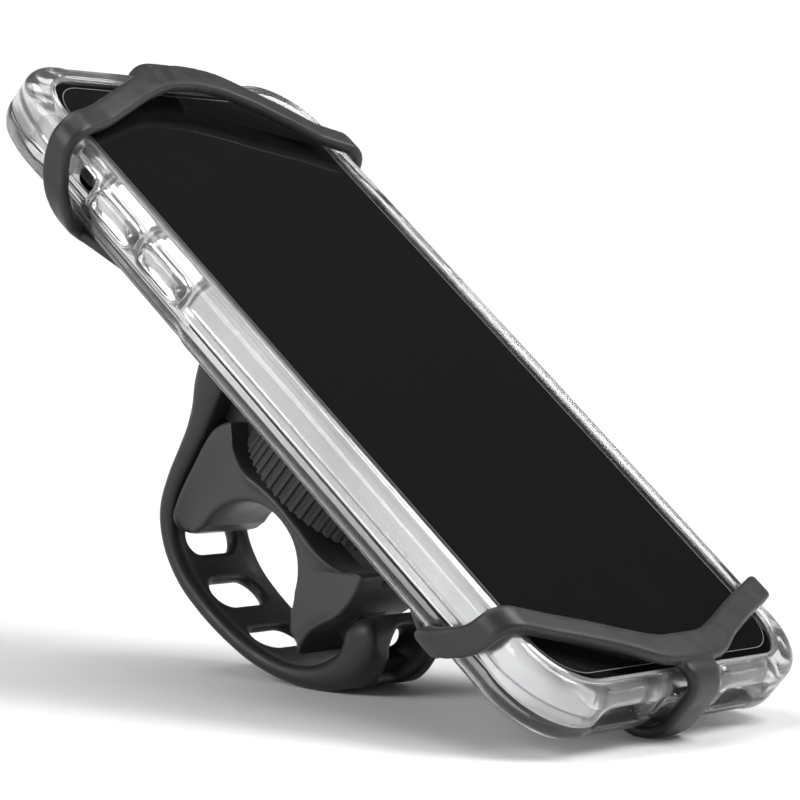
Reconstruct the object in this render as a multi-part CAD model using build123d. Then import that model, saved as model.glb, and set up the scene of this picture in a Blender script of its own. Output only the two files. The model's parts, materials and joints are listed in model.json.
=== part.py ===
from build123d import *
import math
import os

# Phone handlebar mount with a phone in a clear case held in it. Everything is drawn in a flat
# bench frame in millimetres: X across the phone, Y along it towards its top end, Z out of the
# screen, with zero at the centre of the screen's face. place() then stands it up on the floor,
# tilted by TILT, with the origin at the centre of the handlebar seat and +Z up.

# ---- driving dimensions ----------------------------------------------------------------------
TILT = 38.0             # how far the phone leans back when the mount stands on its strap loop
RUN_GAP = 0.05          # radial clearance of a pin or shaft in its hole
SOFT_GAP = 0.3          # gap between soft pieces on different bodies
SKIN = 0.05             # gap between pieces of one body that only touch

BAR_R = 11.2            # handlebar seat, for a 22.2 mm bar
AXIS_Y = -2.0           # swivel axis and seat centre along the phone
SEAT_Z = -44.8          # seat centre below the screen

PHONE_L, PHONE_W, PHONE_T = 146.6, 71.6, 9.0
PHONE_R = 10.5          # plan corner radius
PHONE_EDGE = 2.2        # edge rounding
GLASS_T = 0.9
CASE_L, CASE_W = 153.0, 77.5
CASE_TOP, CASE_BACK = 0.9, -11.6
CASE_R = 14.0
CASE_BACK_EDGE, CASE_LIP_EDGE = 5.0, 2.6
LIP_IN = 1.0            # how far the lip covers the phone's rim
CASE_FIT = 0.1
FRAME_WALL = 1.6        # metal band of the phone
GLASS_INSET = 0.8       # glass edge inside the phone's outline
FAR = 120.0             # longer than anything; for cutting tools

BAND_T = 2.0            # silicone band thickness
BAND_SPLIT_Z = -6.4     # side bands divide here: above is the yoke, below is the cradle
LEG_HALF = 4.2          # half width of an end leg
LEG_SPLIT = 42.0        # degrees round the case's end edge where the leg divides

PAD_TOP, PAD_T = CASE_BACK - SKIN, 4.4
PAD_RX, PAD_RY = 25.0, 30.0
CORE_R, CORE_T = 20.5, 2.2
RING_R, RING_H = 17.0, 11.2
RING_FLUTES, FLUTE_R = 56, 0.6
PIVOT_R, PIVOT_HEAD_R, PIVOT_HEAD_T = 3.0, 5.6, 2.0
BASE_R, BASE_T = 9.5, 3.1
WASHER_T = 0.4
NUT_R = 5.0
SCREW_R, SCREW_PCR = 1.2, 10.6
SCREW_COUNT, SCREW_FIRST, SCREW_DEEP = 4, 45.0, 6.0
SCREW_HEAD_R, SCREW_HEAD_T = 2.2, 1.0
SPRING_T = 0.55
HEAD_DOWN = 0.6         # pivot head below the ring's top
HEAD_ROOM, WASHER_ROOM = 0.5, 0.3
NUT_T, NUT_IN = 2.2, 0.3

SADDLE_TOP = -30.6
SADDLE_HALF = 10.6      # half length of the saddle along the bar
WAIST_R, WAIST_IN = 26.0, 2.2
SEAT_ARC = 70.0         # half angle of the round part of the seat
SEAT_SIDE_Y = BAR_R * math.sin(math.radians(SEAT_ARC))
SEAT_SIDE_Z = BAR_R * math.cos(math.radians(SEAT_ARC))
STRAP_HALF = 11.0
SLOT_L, SLOT_W = 12.6, 6.2
HOOK_SLOT_L = 10.0
PANEL_HALF = 9.0
ROOT_Y, ROOT_Z, ROOT_R = 25.2, -23.6, 3.8
ROOT_PIN_R = 1.5
ROOT_NOTCH_Z = -33.5     # how far down the strap is notched for the lug
LUG_HALF = 6.0
TAIL_SPLIT = ((-28.4, -49.2), (-24.9, -46.0))   # outer then inner point where the tail begins
PEG_HALF, PEG_T = 3.6, 2.0
PEG_LIP, COLUMN_T = 0.8, 2.1
PEG_TIP_Y, PEG_COLUMN_Y, PEG_Z = -30.8, -22.9, -42.9

PAD_BOTTOM = PAD_TOP - PAD_T
RING_TOP = PAD_BOTTOM - SKIN
RING_BOTTOM = RING_TOP - RING_H
BASE_TOP = RING_BOTTOM - WASHER_T - 2 * SKIN
BASE_BOTTOM = BASE_TOP - BASE_T

os.makedirs("parts", exist_ok=True)


# ---- helpers -----------------------------------------------------------------------------------
def place(shape):
    """Stand a bench-frame shape up: seat centre to the origin, then lean it back."""
    return Rot(TILT, 0, 0) * (Pos(0, -AXIS_Y, -SEAT_Z) * shape)


def save(node, shape):
    export_step(place(shape), f"parts/{node}.step")


def slab(length_x, length_y, z_low, z_high, radius):
    """Rounded rectangle standing from z_low to z_high."""
    plan = RectangleRounded(length_x, length_y, radius)
    return Pos(0, 0, z_low) * extrude(plan, z_high - z_low)


def box(x0, x1, y0, y1, z0, z1):
    """Plain box between two corners."""
    centre = Pos((x0 + x1) / 2, (y0 + y1) / 2, (z0 + z1) / 2)
    return centre * Box(x1 - x0, y1 - y0, z1 - z0)


def rod(radius, start, end):
    """Cylinder from one point to another."""
    start, end = Vector(*start), Vector(*end)
    plane = Plane(origin=start, z_dir=end - start)
    return extrude(plane * Circle(radius), (end - start).length)


def swivel_disc(radius, z_low, z_high):
    """Disc on the swivel axis."""
    return Pos(0, AXIS_Y, z_low) * extrude(Circle(radius), z_high - z_low)


def side_profile(points, half_width):
    """Closed outline of (y, z) points carried across from -half_width to +half_width."""
    face = make_face(Plane.YZ * Polyline(*points, close=True))
    return Pos(-half_width, 0, 0) * extrude(face, 2 * half_width, dir=(1, 0, 0))


def pill(x_mid, y_mid, z_mid, length, height, depth):
    """Stadium-shaped key that faces along X, long in Y."""
    plan = Plane.YZ * SlotOverall(length, height)
    return Pos(x_mid - depth / 2, y_mid, z_mid) * extrude(plan, depth, dir=(1, 0, 0))


# ---- phone in its case --------------------------------------------------------------------------
def phone_blank(grow=0.0):
    """The phone's outer form, grown by a clearance."""
    body = slab(PHONE_W + 2 * grow, PHONE_L + 2 * grow, -PHONE_T - grow, 0, PHONE_R + grow)
    back = body.edges().group_by(Axis.Z)[0]
    return fillet(back, PHONE_EDGE)


def inset_slab(inset, z_low, z_high):
    """The phone's plan drawn in by inset, between two heights."""
    return slab(PHONE_W - 2 * inset, PHONE_L - 2 * inset, z_low, z_high, PHONE_R - inset)


def case_blank(grow=0.0):
    """The case's outer form, grown evenly on every side."""
    width, length = CASE_W + 2 * grow, CASE_L + 2 * grow
    body = slab(width, length, CASE_BACK - grow, CASE_TOP + grow, CASE_R + grow)
    body = fillet(body.edges().group_by(Axis.Z)[0], CASE_BACK_EDGE + grow)
    return fillet(body.edges().group_by(Axis.Z)[-1], CASE_LIP_EDGE + grow)


KEY_Z = -4.3
KEY_T = 1.3
# name: side, middle along Y, length
KEYS = {
    "volume_up": (-1, 40.2, 10.0),
    "volume_down": (-1, 26.6, 10.0),
    "side_button": (1, 32.0, 16.0),
}
KEY_H, COVER_GROW, KEY_PROUD, KEY_TRAVEL = 2.4, 1.0, 0.35, 0.4
KEY_CUT = 4.0           # depth of the cuts for keys and ports
MUTE_Y, MUTE_L, MUTE_H, MUTE_TRAVEL = 51.0, 4.0, 1.6, 0.6
MUTE_IN, MUTE_FIT = 0.3, 0.2
MUTE_WINDOW_Y, MUTE_WINDOW_L, MUTE_WINDOW_H = 49.5, 10.0, 5.0
CAM_X, CAM_Y, CAM_W, CAM_L, CAM_R = 17.5, 53.0, 27.0, 29.0, 7.0
LENSES = ((11.0, 59.5, 5.6), (11.0, 46.5, 5.6), (24.0, 53.0, 5.6))
PORT_W, PORT_H = 9.0, 3.2
MOUTH_X, MOUTH_L, MOUTH_H = 18.0, 13.0, 3.6
MID_Z = -PHONE_T / 2
SPEAKER_X, SPEAKER_STEP, SPEAKER_COUNT, SPEAKER_R = 11.5, 2.6, 5, 0.75
DISPLAY_INSET, DISPLAY_T = 3.0, 1.2
CELL_Y, CELL_W, CELL_L, CELL_LOW, CELL_HIGH = -22.0, 50.0, 82.0, -7.6, -2.6
BOARD_X, BOARD_Y, BOARD_W, BOARD_L, BOARD_LOW, BOARD_HIGH = -8.0, 45.0, 30.0, 42.0, -6.4, -3.4
INNER_R = 2.0           # plan corners of the cell and the board
ISLAND_PROUD, LENS_PROUD, LENS_SEAT = 1.3, 2.1, 0.4
PORT_WALL, PORT_DEEP = 0.4, 2.6
WINDOW_FIT = 0.15       # gap round a key cover in its window
COVER_PROUD = 0.7
WINDOW_CUT = 8.0
PORT_ROOM_W, PORT_ROOM_H, PORT_CUT = 4.0, 2.4, 5.0


def phone_parts():
    """Frame band with glass front and back, display, cells, keys, camera and port."""
    back_face = -PHONE_T + GLASS_T
    inner = inset_slab(FRAME_WALL, back_face, -GLASS_T)
    front = inset_slab(GLASS_INSET, -GLASS_T, 0)
    back = phone_blank() & inset_slab(GLASS_INSET, -PHONE_T - 1, back_face)
    frame = phone_blank() - inner - front
    frame -= inset_slab(GLASS_INSET - SKIN, -PHONE_T - 1, back_face)

    nodes = {"phone_front_glass": front, "phone_back_glass": back}
    nodes["phone_display"] = inset_slab(DISPLAY_INSET, -GLASS_T - DISPLAY_T, -GLASS_T - SKIN)
    nodes["phone_battery"] = Pos(0, CELL_Y, 0) * slab(CELL_W, CELL_L, CELL_LOW, CELL_HIGH, INNER_R)
    board = slab(BOARD_W, BOARD_L, BOARD_LOW, BOARD_HIGH, INNER_R)
    nodes["phone_logic_board"] = Pos(BOARD_X, BOARD_Y, 0) * board

    for name, (side, y_mid, length) in KEYS.items():
        wall = side * PHONE_W / 2
        x_out = wall + side * KEY_PROUD
        x_in = x_out - side * KEY_T
        nodes[f"phone_{name}"] = pill((x_out + x_in) / 2, y_mid, KEY_Z, length, KEY_H, KEY_T)
        frame -= pill(wall, y_mid, KEY_Z, length + 2 * SKIN, KEY_H + 2 * SKIN, KEY_CUT)

    wall = -PHONE_W / 2
    lever_z = KEY_Z + MUTE_TRAVEL / 2
    nodes["phone_mute_switch"] = pill(wall + MUTE_IN, MUTE_Y, lever_z, MUTE_L, MUTE_H, KEY_T)
    bay_l, bay_h = MUTE_L + 2 * MUTE_FIT, MUTE_H + 2 * MUTE_TRAVEL + 2 * MUTE_FIT
    frame -= pill(wall, MUTE_Y, KEY_Z, bay_l, bay_h, KEY_CUT)

    port_y = -PHONE_L / 2
    port = Plane(origin=(0, port_y - 1, MID_Z), x_dir=(1, 0, 0), z_dir=(0, 1, 0))
    fit = 2 * CASE_FIT
    frame -= extrude(port * SlotOverall(PORT_W + fit, PORT_H + fit), KEY_CUT)
    mouth = port.offset(1 + fit)
    shell = extrude(mouth * SlotOverall(PORT_W, PORT_H), PORT_DEEP)
    wall = 2 * PORT_WALL
    shell -= extrude(mouth * SlotOverall(PORT_W - wall, PORT_H - wall), PORT_DEEP - wall)
    nodes["phone_port"] = shell
    for side in (-1, 1):
        for step in range(SPEAKER_COUNT):
            x_hole = side * (SPEAKER_X + SPEAKER_STEP * step)
            hole = Plane(origin=(x_hole, port_y - 1, MID_Z), z_dir=(0, 1, 0))
            frame -= extrude(hole * Circle(SPEAKER_R), KEY_CUT)
    nodes["phone_frame"] = frame

    island_top, island_low = -PHONE_T - SKIN, -PHONE_T - ISLAND_PROUD
    island = Pos(CAM_X, CAM_Y, 0) * slab(CAM_W, CAM_L, island_low, island_top, CAM_R)
    seat, proud = -PHONE_T - LENS_SEAT, -PHONE_T - LENS_PROUD
    lenses = []
    for x, y, radius in LENSES:
        island -= rod(radius, (x, y, proud), (x, y, seat))
        lenses.append(rod(radius - SKIN, (x, y, proud), (x, y, seat - SKIN)))
    nodes["phone_camera_island"] = island
    nodes["phone_camera_lenses"] = Part() + lenses
    return nodes


def case_parts():
    """One clear shell with a lip over the phone's rim, cut-outs, and separate key covers."""
    shell = case_blank() - phone_blank(CASE_FIT)
    shell -= inset_slab(LIP_IN, -GLASS_T, CASE_TOP + 1)
    shell -= inset_slab(-CASE_FIT, -GLASS_T, SKIN)
    shell -= Pos(CAM_X, CAM_Y, 0) * slab(CAM_W + 2, CAM_L + 2, CASE_BACK - 1, -PHONE_T, CAM_R + 1)
    nodes = {}
    for name, (side, y_mid, length) in KEYS.items():
        wall = side * CASE_W / 2
        inner = side * (PHONE_W / 2 + KEY_PROUD + SKIN)
        window_x = side * (PHONE_W + CASE_W) / 4
        long, high = length + 2 * COVER_GROW, KEY_H + 2 * COVER_GROW
        fit = 2 * WINDOW_FIT
        shell -= pill(window_x, y_mid, KEY_Z, long + fit, high + fit, WINDOW_CUT)
        outer = wall + side * COVER_PROUD
        cover = pill((outer + inner) / 2, y_mid, KEY_Z, long, high, abs(outer - inner))
        nodes[f"case_{name}_cover"] = cover
    shell -= pill(-CASE_W / 2, MUTE_WINDOW_Y, KEY_Z, MUTE_WINDOW_L, MUTE_WINDOW_H, WINDOW_CUT)
    end = Plane(origin=(0, -CASE_L / 2 - 1, MID_Z), x_dir=(1, 0, 0), z_dir=(0, 1, 0))
    shell -= extrude(end * SlotOverall(PORT_W + PORT_ROOM_W, PORT_H + PORT_ROOM_H), PORT_CUT)
    for side in (-1, 1):
        shell -= extrude(end * Pos(side * MOUTH_X, 0) * SlotOverall(MOUTH_L, MOUTH_H), PORT_CUT)
    nodes["case_shell"] = shell
    return nodes


# ---- silicone cradle and yokes ---------------------------------------------------------------------
BAND_SHELL = case_blank(SKIN + BAND_T) - case_blank(SKIN)
YOKE_SHELL = case_blank(SKIN + BAND_T) - case_blank(SOFT_GAP)
# right half of each front band, as (x, y) points: inner edge from the middle out, outer edge back in
TOP_INNER = ((0, 67.6), (6, 66.9), (12, 65.0), (18, 62.8), (24, 60.1), (32, 56.8), (43, 52.4))
TOP_OUTER = ((43, 57.4), (32, 62.2), (22, 66.4), (14, 70.1), (8, 73.0), (5, 75.6))
LOW_INNER = ((0, -67.9), (6, -67.5), (13, -65.6), (21, -62.6), (31, -59.4), (43, -56.2))
LOW_OUTER = ((43, -61.0), (31, -64.7), (22, -67.9), (14, -71.0), (8, -74.0), (5, -76.2))
# per end: inner edge, outer edge, side arm's middle at the rim, and at the case's back
BANDS = {1: (TOP_INNER, TOP_OUTER, 56.6, 49.6), -1: (LOW_INNER, LOW_OUTER, 58.9, 50.8)}
ARM_WIDE, ARM_REACH = 4.8, 6.0
ARM_OVERLAP = 4.0       # how far an arm runs into what it grows from
LIP_DROP = 3.2          # how far below the lip the front band's prism starts
ARM_TOP_Z, ARM_LOW_Z = CASE_TOP + 1.4, -11.0
ROOT_X, ROOT_ARM_Y, ROOT_WIDE = 17.0, 20.0, 10.0


def side_arm(side, end):
    """Slanting side band as a cutting prism; side is -1 or 1 in X, end is -1 or 1 in Y."""
    _, _, rim_y, back_y = BANDS[end]
    half = ARM_WIDE / 2
    below, above = ARM_LOW_Z - 8, ARM_TOP_Z + 3
    outline = (
        (end * back_y - half, below), (end * back_y + half, below), (end * back_y + half, ARM_LOW_Z),
        (end * rim_y + half, above), (end * rim_y - half, above), (end * back_y - half, ARM_LOW_Z))
    return Pos(side * (CASE_W / 2 + 1.0), 0, 0) * side_profile(outline, ARM_REACH)


def front_band(end):
    """The Y-shaped band over the screen as a cutting prism."""
    inner, outer, _, _ = BANDS[end]
    inner = [(-x, y) for x, y in reversed(inner[1:])] + list(inner)
    tip = end * (CASE_L / 2 + 6)
    edge = [Spline(*inner), Line(inner[-1], outer[0]), Spline(*outer)]
    edge.append(Line(outer[-1], (LEG_HALF, tip)))
    edge.append(Line((LEG_HALF, tip), (-LEG_HALF, tip)))
    edge.append(Line((-LEG_HALF, tip), (-outer[-1][0], outer[-1][1])))
    edge.append(Spline(*[(-x, y) for x, y in reversed(outer)]))
    edge.append(Line((-outer[0][0], outer[0][1]), inner[0]))
    return Pos(0, 0, CASE_TOP - LIP_DROP) * extrude(make_face(edge), 3 * LIP_DROP)


def end_wedge(end, above):
    """Half-space wedge that divides an end leg at LEG_SPLIT round the case's back edge."""
    y_arc = end * (CASE_L / 2 - CASE_BACK_EDGE)
    z_arc = CASE_BACK + CASE_BACK_EDGE
    reach = 2 * CASE_R
    angle = math.radians(LEG_SPLIT)
    ray = (y_arc + end * reach * math.cos(angle), z_arc - reach * math.sin(angle))
    if above:
        points = ((y_arc, z_arc), ray, (ray[0], FAR), (y_arc, FAR))
    else:
        points = ((y_arc, z_arc), ray, (ray[0], -FAR), (y_arc, -FAR))
    return side_profile(points, LEG_HALF)


def yoke(end):
    """Front band, two side bands down to the split, and the leg over the end."""
    high = box(-FAR, FAR, -FAR, FAR, BAND_SPLIT_Z + SOFT_GAP, FAR)
    body = YOKE_SHELL & front_band(end)
    for side in (-1, 1):
        body += YOKE_SHELL & side_arm(side, end) & high
    body += YOKE_SHELL & end_wedge(end, True) & box(-FAR, FAR, -FAR, FAR, -FAR, CASE_TOP)
    return body


def cradle_pad():
    """Centre pad with four diagonal arms and two end legs that wrap up to the splits."""
    pad = Pos(0, AXIS_Y, PAD_BOTTOM) * extrude(Ellipse(PAD_RX, PAD_RY), PAD_T)
    below = box(-FAR, FAR, -FAR, FAR, -FAR, BAND_SPLIT_Z)
    core_room = swivel_disc(CORE_R + SKIN, PAD_BOTTOM - 1, PAD_BOTTOM + CORE_T)
    for side in (-1, 1):
        for end in (-1, 1):
            start = (side * ROOT_X, AXIS_Y + end * ROOT_ARM_Y)
            finish = (side * (CASE_W / 2 - CASE_BACK_EDGE + 1), end * BANDS[end][3])
            run = make_face(Polyline(
                (start[0], start[1] - ROOT_WIDE / 2), (finish[0], finish[1] - ARM_WIDE / 2),
                (finish[0], finish[1] + ARM_WIDE / 2), (start[0], start[1] + ROOT_WIDE / 2), close=True))
            pad += Pos(0, 0, PAD_TOP - BAND_T) * extrude(run, BAND_T)
            edge_x = (finish[0] - side, side * FAR)
            tip = box(min(edge_x), max(edge_x), -FAR, FAR, -FAR, FAR)
            wide = Pos(side * -ARM_OVERLAP, 0, 0) * side_arm(side, end) + side_arm(side, end)
            pad += BAND_SHELL & wide & below & tip
    for end in (-1, 1):
        pad += BAND_SHELL & end_wedge(end, False)
        leg_start = AXIS_Y + end * (PAD_RY - ARM_OVERLAP)
        leg_end = end * (CASE_L / 2 - CASE_BACK_EDGE)
        leg_low, leg_high = min(leg_start, leg_end), max(leg_start, leg_end)
        pad += box(-LEG_HALF, LEG_HALF, leg_low, leg_high, PAD_TOP - BAND_T, PAD_TOP)
    return pad - core_room


# ---- turntable ---------------------------------------------------------------------------------------
def on_circle(radius, count, first=0.0):
    """Evenly spaced points round the swivel axis."""
    for step in range(count):
        angle = math.radians(first + 360.0 * step / count)
        yield radius * math.cos(angle), AXIS_Y + radius * math.sin(angle)


def screw_set(core, ring):
    """Four countersunk screws through the core plate into the ring; gives back all three."""
    top = PAD_BOTTOM + CORE_T - SKIN
    screws = []
    for x, y in on_circle(SCREW_PCR, SCREW_COUNT, SCREW_FIRST):
        core -= rod(SCREW_HEAD_R + 2 * SKIN, (x, y, top - SCREW_HEAD_T), (x, y, top + 1))
        core -= rod(SCREW_R + SKIN, (x, y, PAD_BOTTOM - 1), (x, y, top))
        ring -= rod(SCREW_R + SKIN, (x, y, RING_TOP - SCREW_DEEP - 4 * SKIN), (x, y, RING_TOP + 1))
        shank = rod(SCREW_R, (x, y, RING_TOP - SCREW_DEEP), (x, y, top - SCREW_HEAD_T + 2 * SKIN))
        head = rod(SCREW_HEAD_R, (x, y, top - SCREW_HEAD_T + SKIN), (x, y, top - SKIN))
        screws.append(shank + head)
    return core, ring, Part() + screws


def turntable_parts():
    """Fluted ring under the pad, the core plate it is screwed to, and the pivot through both."""
    ring = swivel_disc(RING_R, RING_BOTTOM, RING_TOP)
    for x, y in on_circle(RING_R, RING_FLUTES):
        ring -= rod(FLUTE_R, (x, y, RING_BOTTOM - 1), (x, y, RING_TOP + 1))
    ring -= swivel_disc(PIVOT_R + RUN_GAP, RING_BOTTOM - 1, RING_TOP + 1)
    head_low = RING_TOP - PIVOT_HEAD_T - HEAD_DOWN
    well = head_low - SPRING_T - SKIN
    ring -= swivel_disc(PIVOT_HEAD_R + HEAD_ROOM, well, RING_TOP + 1)
    core = swivel_disc(CORE_R, PAD_BOTTOM, PAD_BOTTOM + CORE_T - SKIN)
    core, ring, screws = screw_set(core, ring)
    pivot = swivel_disc(PIVOT_R, BASE_BOTTOM + NUT_IN, head_low)
    pivot += swivel_disc(PIVOT_HEAD_R, head_low, head_low + PIVOT_HEAD_T)
    spring = swivel_disc(PIVOT_HEAD_R, well + SKIN, head_low - SKIN)
    spring -= swivel_disc(PIVOT_R + WASHER_ROOM, well - 1, well + 1)
    washer_low = BASE_TOP + SKIN
    friction = swivel_disc(BASE_R - 1, washer_low, washer_low + WASHER_T)
    friction -= swivel_disc(PIVOT_R + WASHER_ROOM, BASE_TOP - 1, RING_BOTTOM + 1)
    nut = Pos(0, AXIS_Y, BASE_BOTTOM + NUT_IN) * extrude(RegularPolygon(NUT_R, 6), NUT_T)
    nut -= swivel_disc(PIVOT_R + SKIN / 2, BASE_BOTTOM - 1, BASE_TOP)
    return {
        "turntable_ring": ring, "core_plate": core, "core_screws": screws,
        "pivot_bolt": pivot, "spring_washer": spring, "friction_washer": friction, "pivot_nut": nut,
    }


# ---- base, saddle and strap ------------------------------------------------------------------------------
LUG_OUTLINE = (
    (AXIS_Y, BASE_BOTTOM), (20.0, BASE_BOTTOM), (ROOT_Y + 2.6, ROOT_Z - 1.6), (ROOT_Y + 1.6, ROOT_Z + 2.8),
    (ROOT_Y - 1.6, ROOT_Z + 2.8), (ROOT_Y - 6.0, BASE_TOP), (AXIS_Y, BASE_TOP))


def base_frame():
    """Stiff disc under the ring, a lug to the strap's root pin, and an arm with the hook peg."""
    disc = swivel_disc(BASE_R, BASE_BOTTOM, BASE_TOP)
    lug = side_profile(LUG_OUTLINE, LUG_HALF)
    column_in = PEG_COLUMN_Y + COLUMN_T
    peg_top = PEG_Z + PEG_T
    arm = side_profile((
        (AXIS_Y, BASE_BOTTOM), (column_in, BASE_BOTTOM), (column_in, PEG_Z), (PEG_TIP_Y, PEG_Z),
        (PEG_TIP_Y, peg_top + PEG_LIP), (PEG_TIP_Y + 1.0, peg_top + PEG_LIP),
        (PEG_TIP_Y + 1.6, peg_top), (PEG_COLUMN_Y, peg_top), (PEG_COLUMN_Y, BASE_TOP),
        (AXIS_Y, BASE_TOP)), PEG_HALF)
    frame = disc + lug + arm
    frame -= rod(ROOT_PIN_R + SKIN, (-FAR, ROOT_Y, ROOT_Z), (FAR, ROOT_Y, ROOT_Z))
    frame -= swivel_disc(PIVOT_R + RUN_GAP, BASE_BOTTOM - 1, BASE_TOP + 1)
    pocket = RegularPolygon(NUT_R + SKIN, 6)
    return frame - Pos(0, AXIS_Y, BASE_BOTTOM - 1) * extrude(pocket, 1 + NUT_IN + NUT_T + SKIN)


# the saddle seen along the bar, as (y, z) points
SADDLE_OUTLINE = (
    (17.8, -30.4), (15.8, -28.2), (11.5, SADDLE_TOP), (-17.0, SADDLE_TOP), (-22.1, -28.2), (-23.2, -33.5),
    (-21.6, -40.2), (-20.5, -44.0), (-21.4, -48.4), (-10.5, -49.0), (9.5, -50.0), (12.8, -49.7),
    (14.9, -47.6), (15.9, -43.8), (16.8, -39.0), (17.6, -34.2))
SEAT_FLOOR = -54.0


def saddle():
    """Soft hourglass block: pointed wings at the top, two horns below, and the bar's seat."""
    block = side_profile(SADDLE_OUTLINE, SADDLE_HALF)
    block -= rod(BAR_R, (-FAR, AXIS_Y, SEAT_Z), (FAR, AXIS_Y, SEAT_Z))
    left, right = AXIS_Y - SEAT_SIDE_Y, AXIS_Y + SEAT_SIDE_Y
    high = SEAT_Z + SEAT_SIDE_Z
    mouth = ((left, high), (right, high), (right, SEAT_FLOOR), (left, SEAT_FLOOR))
    block -= side_profile(mouth, SADDLE_HALF + 1)
    for side in (-1, 1):
        x_mid = side * (SADDLE_HALF - WAIST_IN + WAIST_R)
        block -= rod(WAIST_R, (x_mid, AXIS_Y, -FAR), (x_mid, AXIS_Y, 0))
    low, open_top = BASE_BOTTOM - SKIN, BASE_TOP + 1
    column_in = PEG_COLUMN_Y + COLUMN_T + SKIN
    block -= swivel_disc(BASE_R + SKIN, low, open_top)
    lug_room, peg_room = LUG_HALF + SKIN, PEG_HALF + SKIN
    block -= box(-lug_room, lug_room, AXIS_Y, FAR, low, open_top)
    block -= box(-peg_room, peg_room, -FAR, AXIS_Y, low, open_top)
    block -= box(-peg_room, peg_room, -FAR, column_in, PEG_Z - SKIN, BASE_TOP)
    return block


# side curves of the strap and its tail, as (y, z) points; it is thinnest where the bar rests on it
STRAP_OUTER = (
    (29.0, -24.4), (25.4, -29.6), (23.4, -33.6), (21.8, -39.5), (20.4, -45.2), (17.4, -50.9), (12.4, -55.1),
    (6.0, -57.3), (-1.0, -57.9), (-8.7, -57.5), (-15.4, -56.1), (-22.2, -53.3), TAIL_SPLIT[0])
STRAP_INNER = (
    TAIL_SPLIT[1], (-19.6, -50.6), (-13.6, -53.2), (-6.6, -55.4), (-2.0, -56.1), (2.0, -55.9), (6.4, -54.4), (11.6, -51.7),
    (15.4, -48.6), (17.0, -43.4), (17.9, -38.7), (19.0, -33.8), (21.0, -28.4))
TAIL_OUTER = (
    (-28.6, -49.0), (-31.8, -45.6), (-33.1, -41.4), (-32.6, -38.0), (-30.6, -35.2), (-27.6, -33.3),
    (-25.7, -33.0))
TAIL_INNER = ((-24.2, -35.0), (-25.8, -37.9), (-26.8, -41.2), (-25.2, -45.7))
# slots in the loop: middle (y, z) and lean in degrees; then the hook slot's span in z
SLOT_SPOTS = ((11.6, -53.2, -36.0), (0.8, -56.2, -4.0), (-10.4, -55.6, 10.0))
HOOK_SLOT_LOW, HOOK_SLOT_HIGH = -43.5, -36.1
PANEL_OUTLINE = ((-31.9, -45.0), (-32.9, -44.7), (-33.8, -41.4), (-33.3, -38.6), (-32.4, -38.6))


def closed_band(outer, inner, half_width):
    """Strip between two smooth side curves, carried across the strap's width."""
    rim = Plane.YZ * Spline(*outer)
    back = Plane.YZ * Spline(*inner)
    turn = Plane.YZ * Line(outer[-1], inner[0])
    close = Plane.YZ * Line(inner[-1], outer[0])
    face = make_face([rim, turn, back, close])
    return Pos(-half_width, 0, 0) * extrude(face, 2 * half_width, dir=(1, 0, 0))


def handlebar_strap():
    """Loop from the root knuckles to the bottom, with three length slots."""
    loop = closed_band(STRAP_OUTER, STRAP_INNER, STRAP_HALF)
    loop += rod(ROOT_R, (-STRAP_HALF, ROOT_Y, ROOT_Z), (STRAP_HALF, ROOT_Y, ROOT_Z))
    neck = (STRAP_INNER[-1], (ROOT_Y - ROOT_R, ROOT_Z), (ROOT_Y + ROOT_R, ROOT_Z), STRAP_OUTER[0])
    loop += side_profile(neck, STRAP_HALF)
    notch = LUG_HALF + SOFT_GAP
    loop -= box(-notch, notch, 0, FAR, ROOT_NOTCH_Z, 0)
    loop -= rod(ROOT_PIN_R + RUN_GAP, (-FAR, ROOT_Y, ROOT_Z), (FAR, ROOT_Y, ROOT_Z))
    for y, z, lean in SLOT_SPOTS:
        hole = extrude(SlotOverall(SLOT_L, SLOT_W), SLOT_W, both=True)
        loop -= Pos(0, y, z) * (Rot(-lean, 0, 0) * hole)
    return loop


def strap_tail():
    """The strap's end that climbs to the hook, with the engaged slot and a raised grip panel."""
    tail = closed_band(TAIL_OUTER, TAIL_INNER, STRAP_HALF)
    tail += side_profile(PANEL_OUTLINE, PANEL_HALF)
    hole = box(-HOOK_SLOT_L / 2, HOOK_SLOT_L / 2, -FAR, 0, HOOK_SLOT_LOW, HOOK_SLOT_HIGH)
    return tail - hole


# ---- write every node --------------------------------------------------------------------------------------
NODES = {}
NODES.update(phone_parts())
NODES.update(case_parts())
NODES["top_yoke"] = yoke(1)
NODES["bottom_yoke"] = yoke(-1)
NODES["cradle_pad"] = cradle_pad()
NODES.update(turntable_parts())
NODES["base_frame"] = base_frame()
NODES["saddle"] = saddle()
NODES["handlebar_strap"] = handlebar_strap()
NODES["strap_tail"] = strap_tail()
PIN_HALF = STRAP_HALF - 0.4
NODES["strap_pin"] = rod(ROOT_PIN_R, (-PIN_HALF, ROOT_Y, ROOT_Z), (PIN_HALF, ROOT_Y, ROOT_Z))

for node, shape in NODES.items():
    save(node, shape)
    low = place(shape).bounding_box().min.Z
    print(f"{node:26s} lowest {low:8.2f}")
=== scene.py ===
# %% [markdown]
# # A silicone phone handlebar mount
# The mount is a soft cradle whose bands hook over a phone, on a fluted turntable, on a saddle that
# a strap ties to a handlebar. The CAD model already holds every size and joint. Here the soft
# parts get their real flowing shapes, and every surface gets its finish.

import json
import math

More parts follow.
